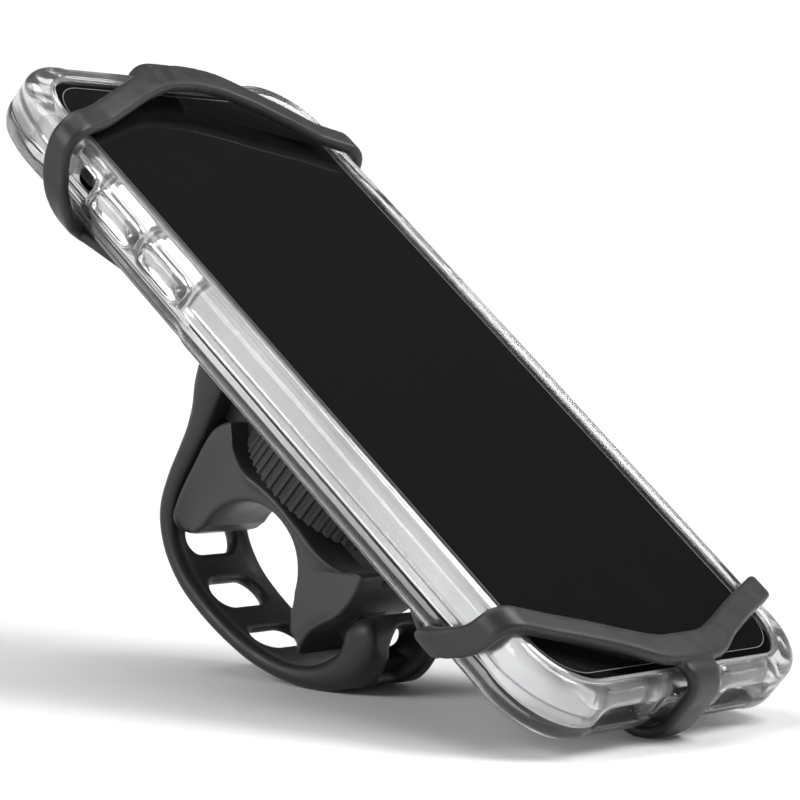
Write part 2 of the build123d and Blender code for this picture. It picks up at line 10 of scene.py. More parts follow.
import bpy
import numpy as np
from mathutils import Matrix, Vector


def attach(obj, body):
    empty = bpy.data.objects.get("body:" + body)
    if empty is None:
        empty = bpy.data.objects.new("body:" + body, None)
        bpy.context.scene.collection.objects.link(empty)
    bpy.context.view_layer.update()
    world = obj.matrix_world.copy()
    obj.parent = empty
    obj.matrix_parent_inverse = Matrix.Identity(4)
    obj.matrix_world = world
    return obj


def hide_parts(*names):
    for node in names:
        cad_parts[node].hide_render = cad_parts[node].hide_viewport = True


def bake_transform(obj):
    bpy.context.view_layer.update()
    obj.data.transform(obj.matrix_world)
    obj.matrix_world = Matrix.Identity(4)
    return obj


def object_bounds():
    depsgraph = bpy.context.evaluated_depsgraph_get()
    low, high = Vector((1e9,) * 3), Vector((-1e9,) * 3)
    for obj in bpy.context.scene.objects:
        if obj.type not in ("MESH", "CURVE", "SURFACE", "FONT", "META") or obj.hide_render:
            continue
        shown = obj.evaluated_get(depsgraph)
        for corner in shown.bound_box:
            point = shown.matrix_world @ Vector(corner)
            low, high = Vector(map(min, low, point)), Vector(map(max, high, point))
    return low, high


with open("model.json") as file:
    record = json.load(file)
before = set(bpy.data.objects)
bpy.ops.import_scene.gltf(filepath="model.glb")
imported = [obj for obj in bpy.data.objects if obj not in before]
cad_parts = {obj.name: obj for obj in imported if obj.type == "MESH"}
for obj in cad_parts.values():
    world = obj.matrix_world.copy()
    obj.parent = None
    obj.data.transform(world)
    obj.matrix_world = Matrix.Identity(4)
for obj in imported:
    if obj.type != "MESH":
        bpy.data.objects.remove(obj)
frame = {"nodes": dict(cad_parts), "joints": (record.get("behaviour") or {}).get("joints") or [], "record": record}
cad_box = [list(corner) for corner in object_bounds()]
print("CAD box in metres:", cad_box)

# %% [markdown]
# ## A flat bench to work on
# The phone leans back on its mount, which makes every formula awkward. So all shapes are worked
# out on a flat bench, in millimetres: X across the phone, Y along it, Z out of the screen, with
# zero at the middle of the screen. One function then leans the finished points back into place.
# The lean is read from the swivel's axis, and the zero from the front glass.

# %% The bench
MM = 0.001
JOINTS = {joint["name"]: joint for joint in frame["joints"]}
axis = JOINTS["swivel"]["axis"]
lean = math.atan2(-axis[1], axis[2])
COS, SIN = math.cos(lean), math.sin(lean)
TO_ROW = np.array([[1, 0, 0], [0, COS, -SIN], [0, SIN, COS]])


def node_points(node):
    """A CAD node's vertices, turned back flat: the row frame rotated by minus the lean, in mm."""
    mesh = frame["nodes"][node].data
    points = np.zeros(len(mesh.vertices) * 3)
    mesh.vertices.foreach_get("co", points)
    return points.reshape(-1, 3) @ TO_ROW / MM


glass_points = node_points("phone_front_glass")
low, high = glass_points.min(0), glass_points.max(0)
BENCH_ZERO = np.array([(low[0] + high[0]) / 2, (low[1] + high[1]) / 2, high[2]])


def bench_box(node):
    """Lowest and highest corner of a CAD node on the bench, in mm."""
    points = node_points(node) - BENCH_ZERO
    return points.min(0), points.max(0)


def stand(points):
    """Bench points to the row frame: add the zero, lean back, turn mm into metres."""
    return (np.asarray(points, float) + BENCH_ZERO) @ TO_ROW.T * MM


def row_point(x, y, z):
    """One bench point, in mm, as a point of the row frame in metres."""
    return tuple(stand([[x, y, z]])[0])


CASE_LOW, CASE_HIGH = bench_box("case_shell")
CORE_LOW, CORE_HIGH = bench_box("core_plate")
SEAT_Y, SEAT_Z = -BENCH_ZERO[1], -BENCH_ZERO[2]
SWIVEL_Y = (CORE_LOW[1] + CORE_HIGH[1]) / 2
print("lean", round(math.degrees(lean), 2), "degrees; seat centre at", SEAT_Y, SEAT_Z)
print("case", CASE_LOW.round(1), CASE_HIGH.round(1))

# %% [markdown]
# ## Camera
# A long lens from low on the left, as a catalogue would show it. It could be aimed with a tracking
# constraint, but the view also rolls a little, so its right and up directions are given instead.

# %% Camera
LENS = 149.7
# on the bench: where the camera stands in mm, and which ways its picture's right and top point
CAMERA_PLACE = (-456.8, -242.1, 224.7)
CAMERA_RIGHT, CAMERA_UP = (0.5885, -0.6011, 0.5407), (0.0164, 0.6775, 0.7354)

camera_data = bpy.data.cameras.new("camera")
camera_data.lens = LENS
camera_data.clip_end = 20
camera = bpy.data.objects.new("camera", camera_data)
bpy.context.scene.collection.objects.link(camera)
right, up = TO_ROW @ np.array(CAMERA_RIGHT), TO_ROW @ np.array(CAMERA_UP)
turn = Matrix(np.stack([right, up, np.cross(right, up)], axis=1).tolist())
upright = turn.to_quaternion().to_matrix().to_4x4()
camera.matrix_world = Matrix.Translation(row_point(*CAMERA_PLACE)) @ upright
bpy.context.scene.camera = camera
bpy.context.scene.view_settings.view_transform = "Standard"
print("camera", [round(value, 3) for value in row_point(*CAMERA_PLACE)], "lens", LENS)

# %% [markdown]
# ## Floor
# The floor is one square at the height of the object's lowest point. Like every mesh here, it holds
# its place in its own points.

# %% Floor
GROUND = cad_box[0][2]
FLOOR_HALF = 1.5


def add_mesh(name, points, faces):
    """A smooth mesh object from arrays of row-frame points; its place is in its vertices."""
    mesh = bpy.data.meshes.new(name)
    mesh.from_pydata(np.asarray(points).tolist(), [], [list(face) for face in faces])
    mesh.polygons.foreach_set("use_smooth", [True] * len(mesh.polygons))
    mesh.update()
    piece = bpy.data.objects.new(name, mesh)
    bpy.context.scene.collection.objects.link(piece)
    return piece


corners = [(x * FLOOR_HALF, y * FLOOR_HALF, GROUND) for x, y in ((-1, -1), (1, -1), (1, 1), (-1, 1))]
floor = add_mesh("floor", corners, [(0, 1, 2, 3)])
print("floor at", round(GROUND, 4))

# %% [markdown]
# ## Lights
# Three large soft lights stand in front, to the left, and overhead towards the back. A small lamp
# would be simpler, but the clear case and the bands show their shape only by long soft reflections.

# %% Lights
LIGHT_AIM = (0, 0, 0.03)


def add_light(name, place, size, power):
    """A square soft light at place, facing the object, in metres in the row frame."""
    data = bpy.data.lights.new(name, "AREA")
    data.shape = "SQUARE"
    data.size = size
    data.energy = power
    light = bpy.data.objects.new(name, data)
    bpy.context.scene.collection.objects.link(light)
    away = Matrix.Translation(place).translation - Matrix.Translation(LIGHT_AIM).translation
    facing = away.to_track_quat("Z", "Y").to_matrix().to_4x4()
    light.matrix_world = Matrix.Translation(place) @ facing
    return light


add_light("key_softbox", (0.45, -0.5, 0.95), 0.6, 12)
add_light("left_softbox", (-0.85, 0.3, 0.5), 0.5, 5)
add_light("top_softbox", (-0.1, 0.3, 1.1), 0.6, 6)
print("lights", [light.name for light in bpy.data.lights])

# %% [markdown]
# ## Surroundings
# The surroundings are white at eye level and dark overhead. So the background is white, while the
# screen, which mirrors the sky, stays black. An even white world would turn the screen grey.

# %% Surroundings
# how white the surroundings are against height: straight ahead is 0, overhead is 1
SKY = ((0.12, 1.0), (0.3, 0.25), (0.5, 0.03), (0.9, 0.1))
SKY_STRENGTH = 1.05
world = bpy.data.worlds.new("studio")
bpy.context.scene.world = world
world.use_nodes = True
nodes, links = world.node_tree.nodes, world.node_tree.links
where = nodes.new("ShaderNodeTexCoord")
where.label, where.location = "direction", (-800, 0)
height = nodes.new("ShaderNodeSeparateXYZ")
height.label, height.location = "height", (-600, 0)
sky = nodes.new("ShaderNodeValToRGB")
sky.label, sky.location = "white low, dark high", (-400, 0)
links.new(where.outputs["Generated"], height.inputs["Vector"])
links.new(height.outputs["Z"], sky.inputs["Fac"])
links.new(sky.outputs["Color"], nodes["Background"].inputs["Color"])
while len(sky.color_ramp.elements) < len(SKY):
    sky.color_ramp.elements.new(1.0)
for stop, (place, grey) in zip(sky.color_ramp.elements, SKY):
    stop.position = place
    stop.color = (grey, grey, grey, 1)
nodes["Background"].inputs["Strength"].default_value = SKY_STRENGTH
print("sky steps", SKY)

# %% [markdown]
# ## Tools for soft shapes
# A moulded band is a thin strip that follows a path. It could be pulled about by hand, but a
# formula gives the same shape every time: points on a grid of two parameters. Here are the few
# helpers that turn such grids into closed, rounded pieces.

# %% Smooth lines and grids
LINE_FINENESS = 60
SQUARENESS = 0.42


def distances(points):
    """Distance gone along a line at each of its points."""
    return np.r_[0, np.cumsum(np.linalg.norm(np.diff(points, axis=0), axis=1))]


def smooth_line(points, count):
    """Cubic through the points (tangents by finite difference), re-spaced evenly along its length."""
    knots = np.asarray(points, float)
    chord = distances(knots)
    slopes = np.gradient(knots, chord, axis=0)
    t = np.linspace(0, chord[-1], LINE_FINENESS * len(knots))
    k = np.clip(np.searchsorted(chord, t, side="right") - 1, 0, len(knots) - 2)
    span = (chord[k + 1] - chord[k])[:, None]
    s = (t - chord[k])[:, None] / span
    line = (2 * s**3 - 3 * s**2 + 1) * knots[k] + (s**3 - 2 * s**2 + s) * span * slopes[k]
    line += (3 * s**2 - 2 * s**3) * knots[k + 1] + (s**3 - s**2) * span * slopes[k + 1]
    gone = distances(line)
    even = np.linspace(0, gone[-1], count)
    return np.stack([np.interp(even, gone, column) for column in line.T], axis=1)


def grid_faces(rows, columns, start=0, around=False):
    """Quads of a rows x columns grid of points; around joins the last column to the first."""
    index = start + np.arange(rows * columns).reshape(rows, columns)
    right = np.roll(index, -1, axis=1) if around else index[:, 1:]
    left = index if around else index[:, :-1]
    return np.stack([left[:-1], right[:-1], right[1:], left[1:]], axis=-1).reshape(-1, 4)


def unit(vectors):
    """Vectors of length 1 along the given ones."""
    return vectors / np.linalg.norm(vectors, axis=-1, keepdims=True)


def soft_step(value, low, high):
    """0 below low, 1 above high, and s*s*(3-2s) between them."""
    s = np.clip((value - low) / (high - low), 0, 1)
    return s * s * (3 - 2 * s)


def round_over(distance, radius):
    """Height of a quarter circle of that radius, as a share, at a distance in from the edge."""
    s = 1 - np.clip(distance / radius, 0, 1)
    return np.sqrt(1 - s * s)


def signed_power(value, power):
    """|value|^power with value's own sign: of cos and sin, it squares off a circle."""
    return np.sign(value) * np.abs(value) ** power


print("a circle's 45 degree point, squared off:", signed_power(math.sqrt(0.5), SQUARENESS).round(3))

# %% [markdown]
# ## Closing a grid into a solid
# A tube of rings only needs a fan at each end to close it. Which way its faces point depends on the
# way the rings run. So the volume inside is worked out, and a negative one turns the faces over.

# %% Closed solids
def band(centres, normals, widths, thicks, square=SQUARENESS, around=40):
    """Closed solid along a path: at each centre a rounded rectangle, width across the path and
    thickness along the normal. Its corner is (cos^square, sin^square) of the angle round it."""
    centres = np.asarray(centres, float)
    ahead = unit(np.gradient(centres, axis=0))
    across = unit(np.cross(ahead, normals))
    outward = np.cross(across, ahead)
    angle = np.linspace(0, 2 * math.pi, around, endpoint=False)
    wide, deep = signed_power(np.cos(angle), square) / 2, signed_power(np.sin(angle), square) / 2
    widths = np.broadcast_to(widths, len(centres))[:, None, None]
    thicks = np.broadcast_to(thicks, len(centres))[:, None, None]
    rings = centres[:, None] + across[:, None] * wide[None, :, None] * widths
    rings = rings + outward[:, None] * deep[None, :, None] * thicks
    return close_tube(rings)


def close_tube(rings):
    """Rings of points (stations x around x 3) to a closed solid with a centre point at each end."""
    rows, columns = rings.shape[:2]
    points = rings.reshape(-1, 3)
    faces = grid_faces(rows, columns, around=True)
    ends = np.stack([rings[0].mean(0), rings[-1].mean(0)])
    first, last = np.arange(columns), np.arange(columns) + (rows - 1) * columns
    cap_a = np.stack([np.full(columns, len(points)), np.roll(first, -1), first], axis=1)
    cap_b = np.stack([np.full(columns, len(points) + 1), last, np.roll(last, -1)], axis=1)
    points = np.concatenate([points, ends])
    faces = faces.tolist() + cap_a.tolist() + cap_b.tolist()
    return points, outward_faces(points, faces)


def outward_faces(points, faces):
    """Turn the faces over if the solid they close has a negative volume."""
    tri = np.array([f[:3] for f in faces] + [[f[0], f[2], f[3]] for f in faces if len(f) == 4])
    a, b, c = (points[tri[:, i]] for i in range(3))
    if np.einsum("ij,ij->i", a, np.cross(b, c)).sum() < 0:
        faces = [f[::-1] for f in faces]
    return faces


def add_solids(name, solids):
    """One object from several (points, faces) solids on the bench."""
    starts = np.cumsum([0] + [len(points) for points, _ in solids])
    faces = []
    for start, (_, these) in zip(starts, solids):
        faces += [[corner + start for corner in face] for face in these]
    return add_mesh(name, stand(np.concatenate([points for points, _ in solids])), faces)


test_points, test_faces = band([(0, 0, 0), (0, 0, 5), (0, 0, 10)], [(1, 0, 0)] * 3, 4.0, 2.0)
print("a short test band:", len(test_points), "points,", len(test_faces), "faces")

# %% [markdown]
# ## Modifiers that are worked in at once
# Blender welds, melts and cuts meshes better than a formula can. Each modifier is worked in straight
# away, and not left on its piece, because a piece that bends across a joint needs its final points.

# %% Modifiers
def finish_mesh(piece):
    """Work the modifiers into the mesh, so that what bends across a joint is final."""
    bpy.context.view_layer.update()
    graph = bpy.context.evaluated_depsgraph_get()
    mesh = bpy.data.meshes.new_from_object(piece.evaluated_get(graph))
    piece.modifiers.clear()
    piece.data = mesh
    mesh.polygons.foreach_set("use_smooth", [True] * len(mesh.polygons))
    return piece


def weld(piece, distance=0.01 * MM):
    """Join points that lie on each other, as where two grids meet."""
    step = piece.modifiers.new("weld", "WELD")
    step.merge_threshold = distance
    return finish_mesh(piece)


def melt(piece, voxel, rounds):
    """Run overlapping solids into one skin: rebuild it on small cubes, then smooth the steps."""
    step = piece.modifiers.new("one_skin", "REMESH")
    step.mode = "VOXEL"
    step.voxel_size = voxel * MM
    step = piece.modifiers.new("soften", "SMOOTH")
    step.factor = 0.5
    step.iterations = rounds
    return finish_mesh(piece)


def cut(piece, name, solids):
    """Take solids out of a piece, then drop the cutter."""
    cutter = add_solids(name, solids)
    step = piece.modifiers.new(name, "BOOLEAN")
    step.object = cutter
    step.solver = "EXACT"
    finish_mesh(piece)
    bpy.data.objects.remove(cutter)
    return piece


# %% [markdown]
# ## The strap that goes round the handlebar
# A flat silicone strap, thick at its root and at its gripping end, loops under the bar. Three
# rounded slots set its length, and a fourth one hooks on the base's peg. It could be a long box
# with holes cut by booleans, but that leaves ragged edges. Instead the strap is laid out flat as
# distance along and distance across. Round each slot the grid opens like ripples. The height
# of both faces falls off as a quarter circle near every edge, so that all edges come out round.

# %% Strap side curve
STRAP_HALF = bench_box("handlebar_strap")[1][0]
EDGE_ROUND, SLOT_ROUND, END_ROUND, CORNER_R = 1.5, 1.2, 3.0, 3.0
# middle of the strap from the root round to the end of the tail: y and z on the bench, thickness
STRAP_LINE = (
    (25.9, -20.6, 5.4), (25.2, -23.6, 7.4), (24.2, -27.0, 6.6), (22.3, -31.2, 5.0),
    (21.1, -34.5, 4.3), (20.0, -39.0, 3.8), (18.8, -44.3, 3.4), (16.5, -49.6, 3.2),
    (12.1, -53.4, 3.2), (6.3, -55.7, 3.1), (-0.9, -56.4, 3.0), (-7.7, -56.0, 2.9),
    (-14.5, -54.7, 3.0), (-21.0, -52.1, 3.2), (-25.8, -48.6, 4.2), (-28.6, -45.1, 5.6),
    (-29.9, -41.4, 6.2), (-29.2, -38.0, 6.6), (-27.6, -35.6, 6.2), (-25.9, -34.2, 5.6))
side_line = smooth_line(STRAP_LINE, 400)
side_gone = distances(side_line[:, :2])
STRAP_LENGTH = side_gone[-1]


def along_strap(s, x, lift):
    """Bench points at distance s along the strap and x across it, lifted off its middle."""
    y, z = (np.interp(s, side_gone, column) for column in side_line[:, :2].T)
    slope = np.gradient(side_line[:, :2], side_gone, axis=0)
    ty, tz = (np.interp(s, side_gone, column) for column in slope.T)
    size = np.hypot(ty, tz)
    return np.stack([x, y + lift * tz / size, z - lift * ty / size], axis=-1)


def nearest_s(y, z):
    """Distance along the strap of the point nearest to (y, z)."""
    return side_gone[np.argmin(np.hypot(side_line[:, 0] - y, side_line[:, 1] - z))]


# slots in order along the strap: distance to the middle, half length across, half width along
SLOTS = (
    (nearest_s(11.3, -51.7), 6.3, 3.1), (nearest_s(0.8, -54.6), 6.3, 3.1),
    (nearest_s(-10.7, -53.9), 6.3, 3.1), (nearest_s(-26.5, -39.8), 5.0, 3.6))
print("strap", round(STRAP_LENGTH, 1), "mm along; slots at", [round(slot[0], 1) for slot in SLOTS])

# %% [markdown]
# ## The strap's two faces
# The strap laid flat is a row of grids that share their edges: plain ones, and a ripple cell for each
# slot. The inner and the outer face use the same grids. Their height is zero along every edge, so the
# two faces meet there and a weld closes them.

# %% Strap plan
CELL_HALF, RIPPLE_POWER = 5.0, 1.6
COLUMNS, SIDES, RINGS, EDGE_COLUMNS, ROW_STEP = 21, 15, 12, 7, 0.5
INNER_HALF = STRAP_HALF - EDGE_ROUND


def ripple_cell(middle, half_x, slot_s):
    """One cell of strap with a slot in it, as (s, x). Ring 0 is the slot: a stadium, the nearest
    point to the scaled cell edge. The last ring is the cell's own rectangle."""
    x_edge = np.linspace(INNER_HALF, -INNER_HALF, COLUMNS)
    s_edge = np.linspace(-CELL_HALF, CELL_HALF, SIDES)
    end_s, side_x = np.full(COLUMNS - 1, CELL_HALF), np.full(SIDES - 1, INNER_HALF)
    rim_s = np.r_[s_edge[:-1], end_s, s_edge[:0:-1], -end_s]
    rim_x = np.r_[side_x, x_edge[:-1], -side_x, x_edge[:0:-1]]
    core = half_x - slot_s
    near_s, near_x = rim_s * slot_s / CELL_HALF, rim_x * half_x / INNER_HALF
    core_x = np.clip(near_x, -core, core)
    far = np.hypot(near_s, near_x - core_x)
    hole_s, hole_x = near_s / far * slot_s, core_x + (near_x - core_x) / far * slot_s
    t = (np.linspace(0, 1, RINGS) ** RIPPLE_POWER)[:, None]
    return middle + hole_s * (1 - t) + rim_s * t, hole_x * (1 - t) + rim_x * t


def same_way(s, x, faces):
    """Turn over each face that runs clockwise when the strap lies flat: its corners' shoelace sum."""
    round_s, round_x = s[faces], x[faces]
    area = (round_s * np.roll(round_x, -1, 1) - round_x * np.roll(round_s, -1, 1)).sum(1)
    return np.where(area[:, None] > 0, faces, faces[:, ::-1])


def strap_plan():
    """The strap laid flat: ripple cells at the slots, plain grids between, and a finer strip
    along each edge, whose columns crowd towards the edge as 1 - cos does."""
    marks = [0.0] + [edge for slot in SLOTS for edge in (slot[0] - CELL_HALF, slot[0] + CELL_HALF)]
    marks.append(STRAP_LENGTH)
    across = np.linspace(INNER_HALF, -INNER_HALF, COLUMNS)
    grids, rows = [], []
    for number, (first, last) in enumerate(zip(marks[:-1], marks[1:])):
        if number % 2 == 0:
            stations = np.linspace(first, last, max(3, round((last - first) / ROW_STEP)))
            grids.append((*np.meshgrid(stations, across, indexing="ij"), False))
        else:
            stations = np.linspace(first, last, SIDES)
            grids.append((*ripple_cell(*SLOTS[number // 2]), True))
        rows += stations.tolist()
    crowded = INNER_HALF + EDGE_ROUND * np.sin(np.linspace(0, math.pi / 2, EDGE_COLUMNS))
    for side in (-1, 1):
        grids.append((*np.meshgrid(rows, side * crowded, indexing="ij"), False))
    return grids


print("grids in the strap's plan:", len(strap_plan()))

# %% [markdown]
# ## How thick the strap is
# A bevel modifier would round the edges too, but it would also spoil the even grid. A height formula
# keeps the grid, and the web under the bar and the blank panel on the tail are just two more terms.

# %% Strap height
# the web under the bar is thinner by this share, fading in beyond the slots and inside the rims
WEB_THIN, WEB_FADE, WEB_RIM = 0.2, (6, 12), (1.8, 3.4)
# the blank panel on the tail: how far it stands up, half its width, its ends, and its edge's slope
PANEL_UP, PANEL_HALF, PANEL_SLOPE = 0.6, 9.4, (0.8, 0.9)
PANEL_START, PANEL_STOP = nearest_s(-29.5, -44.0), nearest_s(-29.0, -38.4)


def strap_height(s, x):
    """Half thickness: the table's, falling off as a quarter circle at the edges, slots and ends."""
    height = np.interp(s, side_gone, side_line[:, 2]) / 2
    height = height * round_over(STRAP_HALF - np.abs(x), EDGE_ROUND)
    height = height * round_over(s, END_ROUND) * round_over(STRAP_LENGTH - s, END_ROUND)
    for middle, half_x, slot_s in SLOTS:
        core = half_x - slot_s
        off = np.hypot(np.maximum(np.abs(x) - core, 0), s - middle) - slot_s
        height = height * round_over(np.maximum(off, 0), SLOT_ROUND)
    first, last, (near, far) = SLOTS[0][0], SLOTS[2][0], WEB_FADE
    web = soft_step(s, first - far, first - near) * (1 - soft_step(s, last + near, last + far))
    return height * (1 - WEB_THIN * web * soft_step(STRAP_HALF - np.abs(x), *WEB_RIM))


def grip_panel(s, x):
    """The raised blank panel on the tail's outer face."""
    slope_s, slope_x = PANEL_SLOPE
    along = soft_step(s, PANEL_START, PANEL_START + slope_s)
    along = along * (1 - soft_step(s, PANEL_STOP, PANEL_STOP + slope_s))
    return PANEL_UP * along * soft_step(PANEL_HALF - np.abs(x), 0, slope_x)


print("panel from", round(PANEL_START, 1), "to", round(PANEL_STOP, 1), "mm along the strap")

# %% [markdown]
# ## The strap as one mesh
# The strap and its tail are two bodies in the CAD, joined where the real strap bends as it comes off
# the peg. Here they are one skin, which never shows a gap between the two bodies.

# %% Strap mesh
PANEL_MIN = 0.5
flat_s, flat_x, faces, count = [], [], [], 0
for s, x, around in strap_plan():
    faces.append(grid_faces(*s.shape, count, around))
    flat_s.append(s.ravel())
    flat_x.append(x.ravel())
    count += s.size
s, x = np.concatenate(flat_s), np.concatenate(flat_x)
faces = same_way(s, x, np.concatenate(faces))
height = strap_height(s, x)
# the tail's corners are round, so its end is pulled in, and the panel keeps off the thin edges
pull = (STRAP_HALF - CORNER_R + CORNER_R * round_over(STRAP_LENGTH - s, CORNER_R)) / STRAP_HALF
outer = height + grip_panel(s, x) * (height > PANEL_MIN)
points = np.concatenate([along_strap(s, x * pull, height), along_strap(s, x * pull, -outer)])
faces = outward_faces(points, np.concatenate([faces, faces[:, ::-1] + count]).tolist())
strap = weld(add_mesh("strap_loop", stand(points), faces))
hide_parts("handlebar_strap", "strap_tail")
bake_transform(strap)
print("strap faces", len(strap.data.polygons), "widest", round(2 * STRAP_HALF, 1), "mm")

# %% [markdown]
# ## The saddle
# The saddle is a soft block between the turntable and the bar. Seen along the bar it is an arch
# with pointed wings above and two horns below, and its faces are hollowed so that they flare
# towards the wings. A block carved by booleans would keep hard edges. Instead the arch is a
# row of sections: each one runs from the bar's seat, round the soft mouth, out over the hollow
# face, round the rim, and back over the top.

# %% Saddle surface
SADDLE_HALF = bench_box("saddle")[1][0]
CLAMP = next(mount for mount in frame["record"]["mounts"] if mount["name"] == "handlebar_clamp")
BAR_R = CLAMP["dims"]["r_mm"]
# the soft seat stands a little proud of the bar's own circle, and is squeezed when it is fitted
SEAT_SQUEEZE = 0.8
FACE_IN, MOUTH_ROUND, RIM_ROUND, TIP_SHARE = 1.6, 1.1, 0.7, 0.035
# outside of the saddle seen along the bar, (y, z), from one horn's tip over the top to the other
SADDLE_LINE = (
    (11.2, -50.3), (13.2, -50.1), (14.7, -49.3), (15.7, -46.9), (16.5, -43.8), (17.3, -39.0),
    (18.0, -34.2), (18.0, -31.6), (17.0, -29.4), (15.9, -28.2), (15.0, -28.9), (13.7, -30.2),
    (11.3, -31.7), (8.6, -32.4), (3.2, -31.7), (0.0, -31.4), (-6.8, -31.6), (-13.7, -31.8),
    (-16.9, -31.1), (-19.2, -30.0), (-21.2, -28.5), (-22.1, -28.2), (-22.7, -29.8),
    (-23.2, -32.6), (-23.2, -34.9), (-22.7, -37.6), (-21.4, -40.4), (-20.5, -43.2),
    (-20.6, -45.9), (-21.3, -48.2), (-20.6, -49.0))
# how far the seat's own surface is from the bar's centre, against the angle from the top in degrees
SEAT_ANGLES, SEAT_REACH = (-100, -95, -85, -68, 96, 104, 110), (5.2, 2.8, 1.0, 0.0, 0.0, 0.8, 1.7)

# points over a rounding, a face, the seat and the top; how thin and how narrow the tips become
ROUND_STEPS, FACE_STEPS, SEAT_STEPS, TOP_STEPS = 9, 14, 6, 8
TIP_THIN, TIP_NARROW, MOUTH_MOST, RIM_MOST = 0.02, 0.6, 0.3, 0.25


def saddle_surface(stations=300):
    """Closed arch. P = seat + share (outside - seat), and the section gives (share, x)."""
    outside = smooth_line(SADDLE_LINE, stations)
    centre = np.array([SEAT_Y, SEAT_Z - SEAT_SQUEEZE])
    angle = np.arctan2(*(outside - centre).T)
    reach = BAR_R + np.interp(np.degrees(angle), SEAT_ANGLES, SEAT_REACH)
    seat = centre + reach[:, None] * np.stack([np.sin(angle), np.cos(angle)], axis=1)
    deep = np.linalg.norm(outside - seat, axis=1)[:, None]
    mouth = np.minimum(MOUTH_ROUND, MOUTH_MOST * deep)
    rim = np.minimum(RIM_ROUND, RIM_MOST * deep)
    waist = SADDLE_HALF - FACE_IN
    quarter = np.linspace(0, math.pi / 2, ROUND_STEPS)
    face = np.linspace(0, 1, FACE_STEPS)[1:-1]
    one = np.ones_like(deep)
    share = np.concatenate([
        np.zeros(SEAT_STEPS) * one, mouth / deep * (1 - np.cos(quarter)),
        mouth / deep + (1 - (mouth + rim) / deep) * face,
        1 - rim / deep * (1 - np.sin(quarter)), np.ones(TOP_STEPS) * one], axis=1)
    x = np.concatenate([
        (waist - mouth) * np.linspace(0, 0.95, SEAT_STEPS), waist - mouth * (1 - np.sin(quarter)),
        (waist + FACE_IN * face**2) * one, SADDLE_HALF - rim * (1 - np.cos(quarter)),
        (SADDLE_HALF - rim) * np.linspace(0.95, 0, TOP_STEPS)], axis=1)
    from_end = np.minimum(np.arange(stations), stations - 1 - np.arange(stations))
    tip = np.clip(1 - from_end / (TIP_SHARE * stations), 0, 1)
    shrink = np.sqrt(np.clip(1 - tip**2, TIP_THIN**2, 1))[:, None]
    share = 0.5 + (share - 0.5) * shrink
    x = x * (TIP_NARROW + (1 - TIP_NARROW) * shrink)
    place = seat[:, None] + share[:, :, None] * (outside - seat)[:, None]
    half = np.concatenate([x[:, :, None], place], axis=2)
    mirror = half[:, -2:0:-1] * np.array([-1, 1, 1])
    return close_tube(np.concatenate([half, mirror], axis=1))


saddle = add_solids("saddle_block", [saddle_surface()])
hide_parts("saddle")
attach(saddle, "base")
print("saddle faces", len(saddle.data.polygons))

# %% [markdown]
# ## The yokes
# Each yoke is one stretched silicone band in the shape of a Y. Two arms start under the pad, come
# round the case's back edge, up its sides, roll over its rim and run in over the screen. They meet
# in a short leg that drops over the end and goes back to the pad. In a moulded part the arms
# flow into each other, so two strips are laid over each other along exact paths and melted into
# one skin. A single sheet would need a patch where three strips meet.

# %% Yoke paths
BAND_T, BAND_GAP, ROLL_R, CASE_EDGE = 2.2, 0.15, 3.6, 5.0
REST = BAND_T / 2 + BAND_GAP
FRONT_Z, SIDE_X, EDGE_Z = CASE_HIGH[2] + REST, CASE_HIGH[0] + REST, CASE_LOW[2] + CASE_EDGE
TURN_R = CASE_EDGE + REST
# the arms drift towards the phone's middle as they go down the side, by DRIFT times depth squared
DRIFT, DRIFT_STOP = 0.066, -11.0
ROOT_X, ROOT_REACH, LEG_REACH = 15.0, 17.0, 24.0
RIM_DIP, ARCH_REACH, LEG_INSIDE = 1.2, 30.0, 1.0
# widths at distances from the screen's end of a strip, then how long it flares at the pad, and to what
ARM_WIDTHS = ((0, 9, 16), (6.0, 5.8, 4.9), 22, 10.0)
LEG_WIDTHS = ((0, 2, 4.5, 7), (13.5, 12.0, 9.4, 8.2), 30, 15.0)
SKIN_VOXEL, SKIN_ROUNDS = 0.34, 6
# per end: the end's sign, the middle of the arm over the screen as (x, y), y at the rim, and how
# high the band arches off the glass
YOKES = {
    "top_yoke": (1, ((0, 70.6), (8, 69.7), (14, 67.3), (22, 63.7), (32, 59.4)), 56.7, 2.0),
    "bottom_yoke": (-1, ((0, 70.9), (8, 70.4), (14, 68.1), (22, 65.1), (31, 62.0)), 59.0, 0.7)}
QUARTER = np.linspace(0, math.pi / 2, 14)[1:]
FALL = np.linspace(FRONT_Z - ROLL_R, EDGE_Z, 12)[1:]


def wrap_case(reach, flat, flat_z, back):
    """Path and normals seen along the case's edge, as (outward, z): over the screen, a quarter
    roll at reach, down the side, a quarter turn round the back edge, and in along the back."""
    sin, cos = np.sin(QUARTER), np.cos(QUARTER)
    out = np.r_[flat, reach - ROLL_R + ROLL_R * sin, np.full(len(FALL), reach),
                reach - TURN_R + TURN_R * cos, back]
    z = np.r_[flat_z, FRONT_Z - ROLL_R * (1 - cos), FALL, EDGE_Z - TURN_R * sin,
              np.full(len(back), EDGE_Z - TURN_R)]
    normal_out = np.r_[np.zeros(len(flat)), sin, np.ones(len(FALL)), cos, np.zeros(len(back))]
    normal_z = np.r_[np.ones(len(flat)), cos, np.zeros(len(FALL)), -sin, -np.ones(len(back))]
    return out, z, normal_out, normal_z


def strip_widths(path, at, wide, flare_length, flare_width):
    """Width at each point of a path: the table's, then a flare up to the pad."""
    gone = distances(path)
    return np.interp(gone, (*at, gone[-1] - flare_length, gone[-1]), (*wide, wide[-1], flare_width))


print("bands lie", round(REST, 2), "mm off the case; their sides are at", round(SIDE_X, 2))

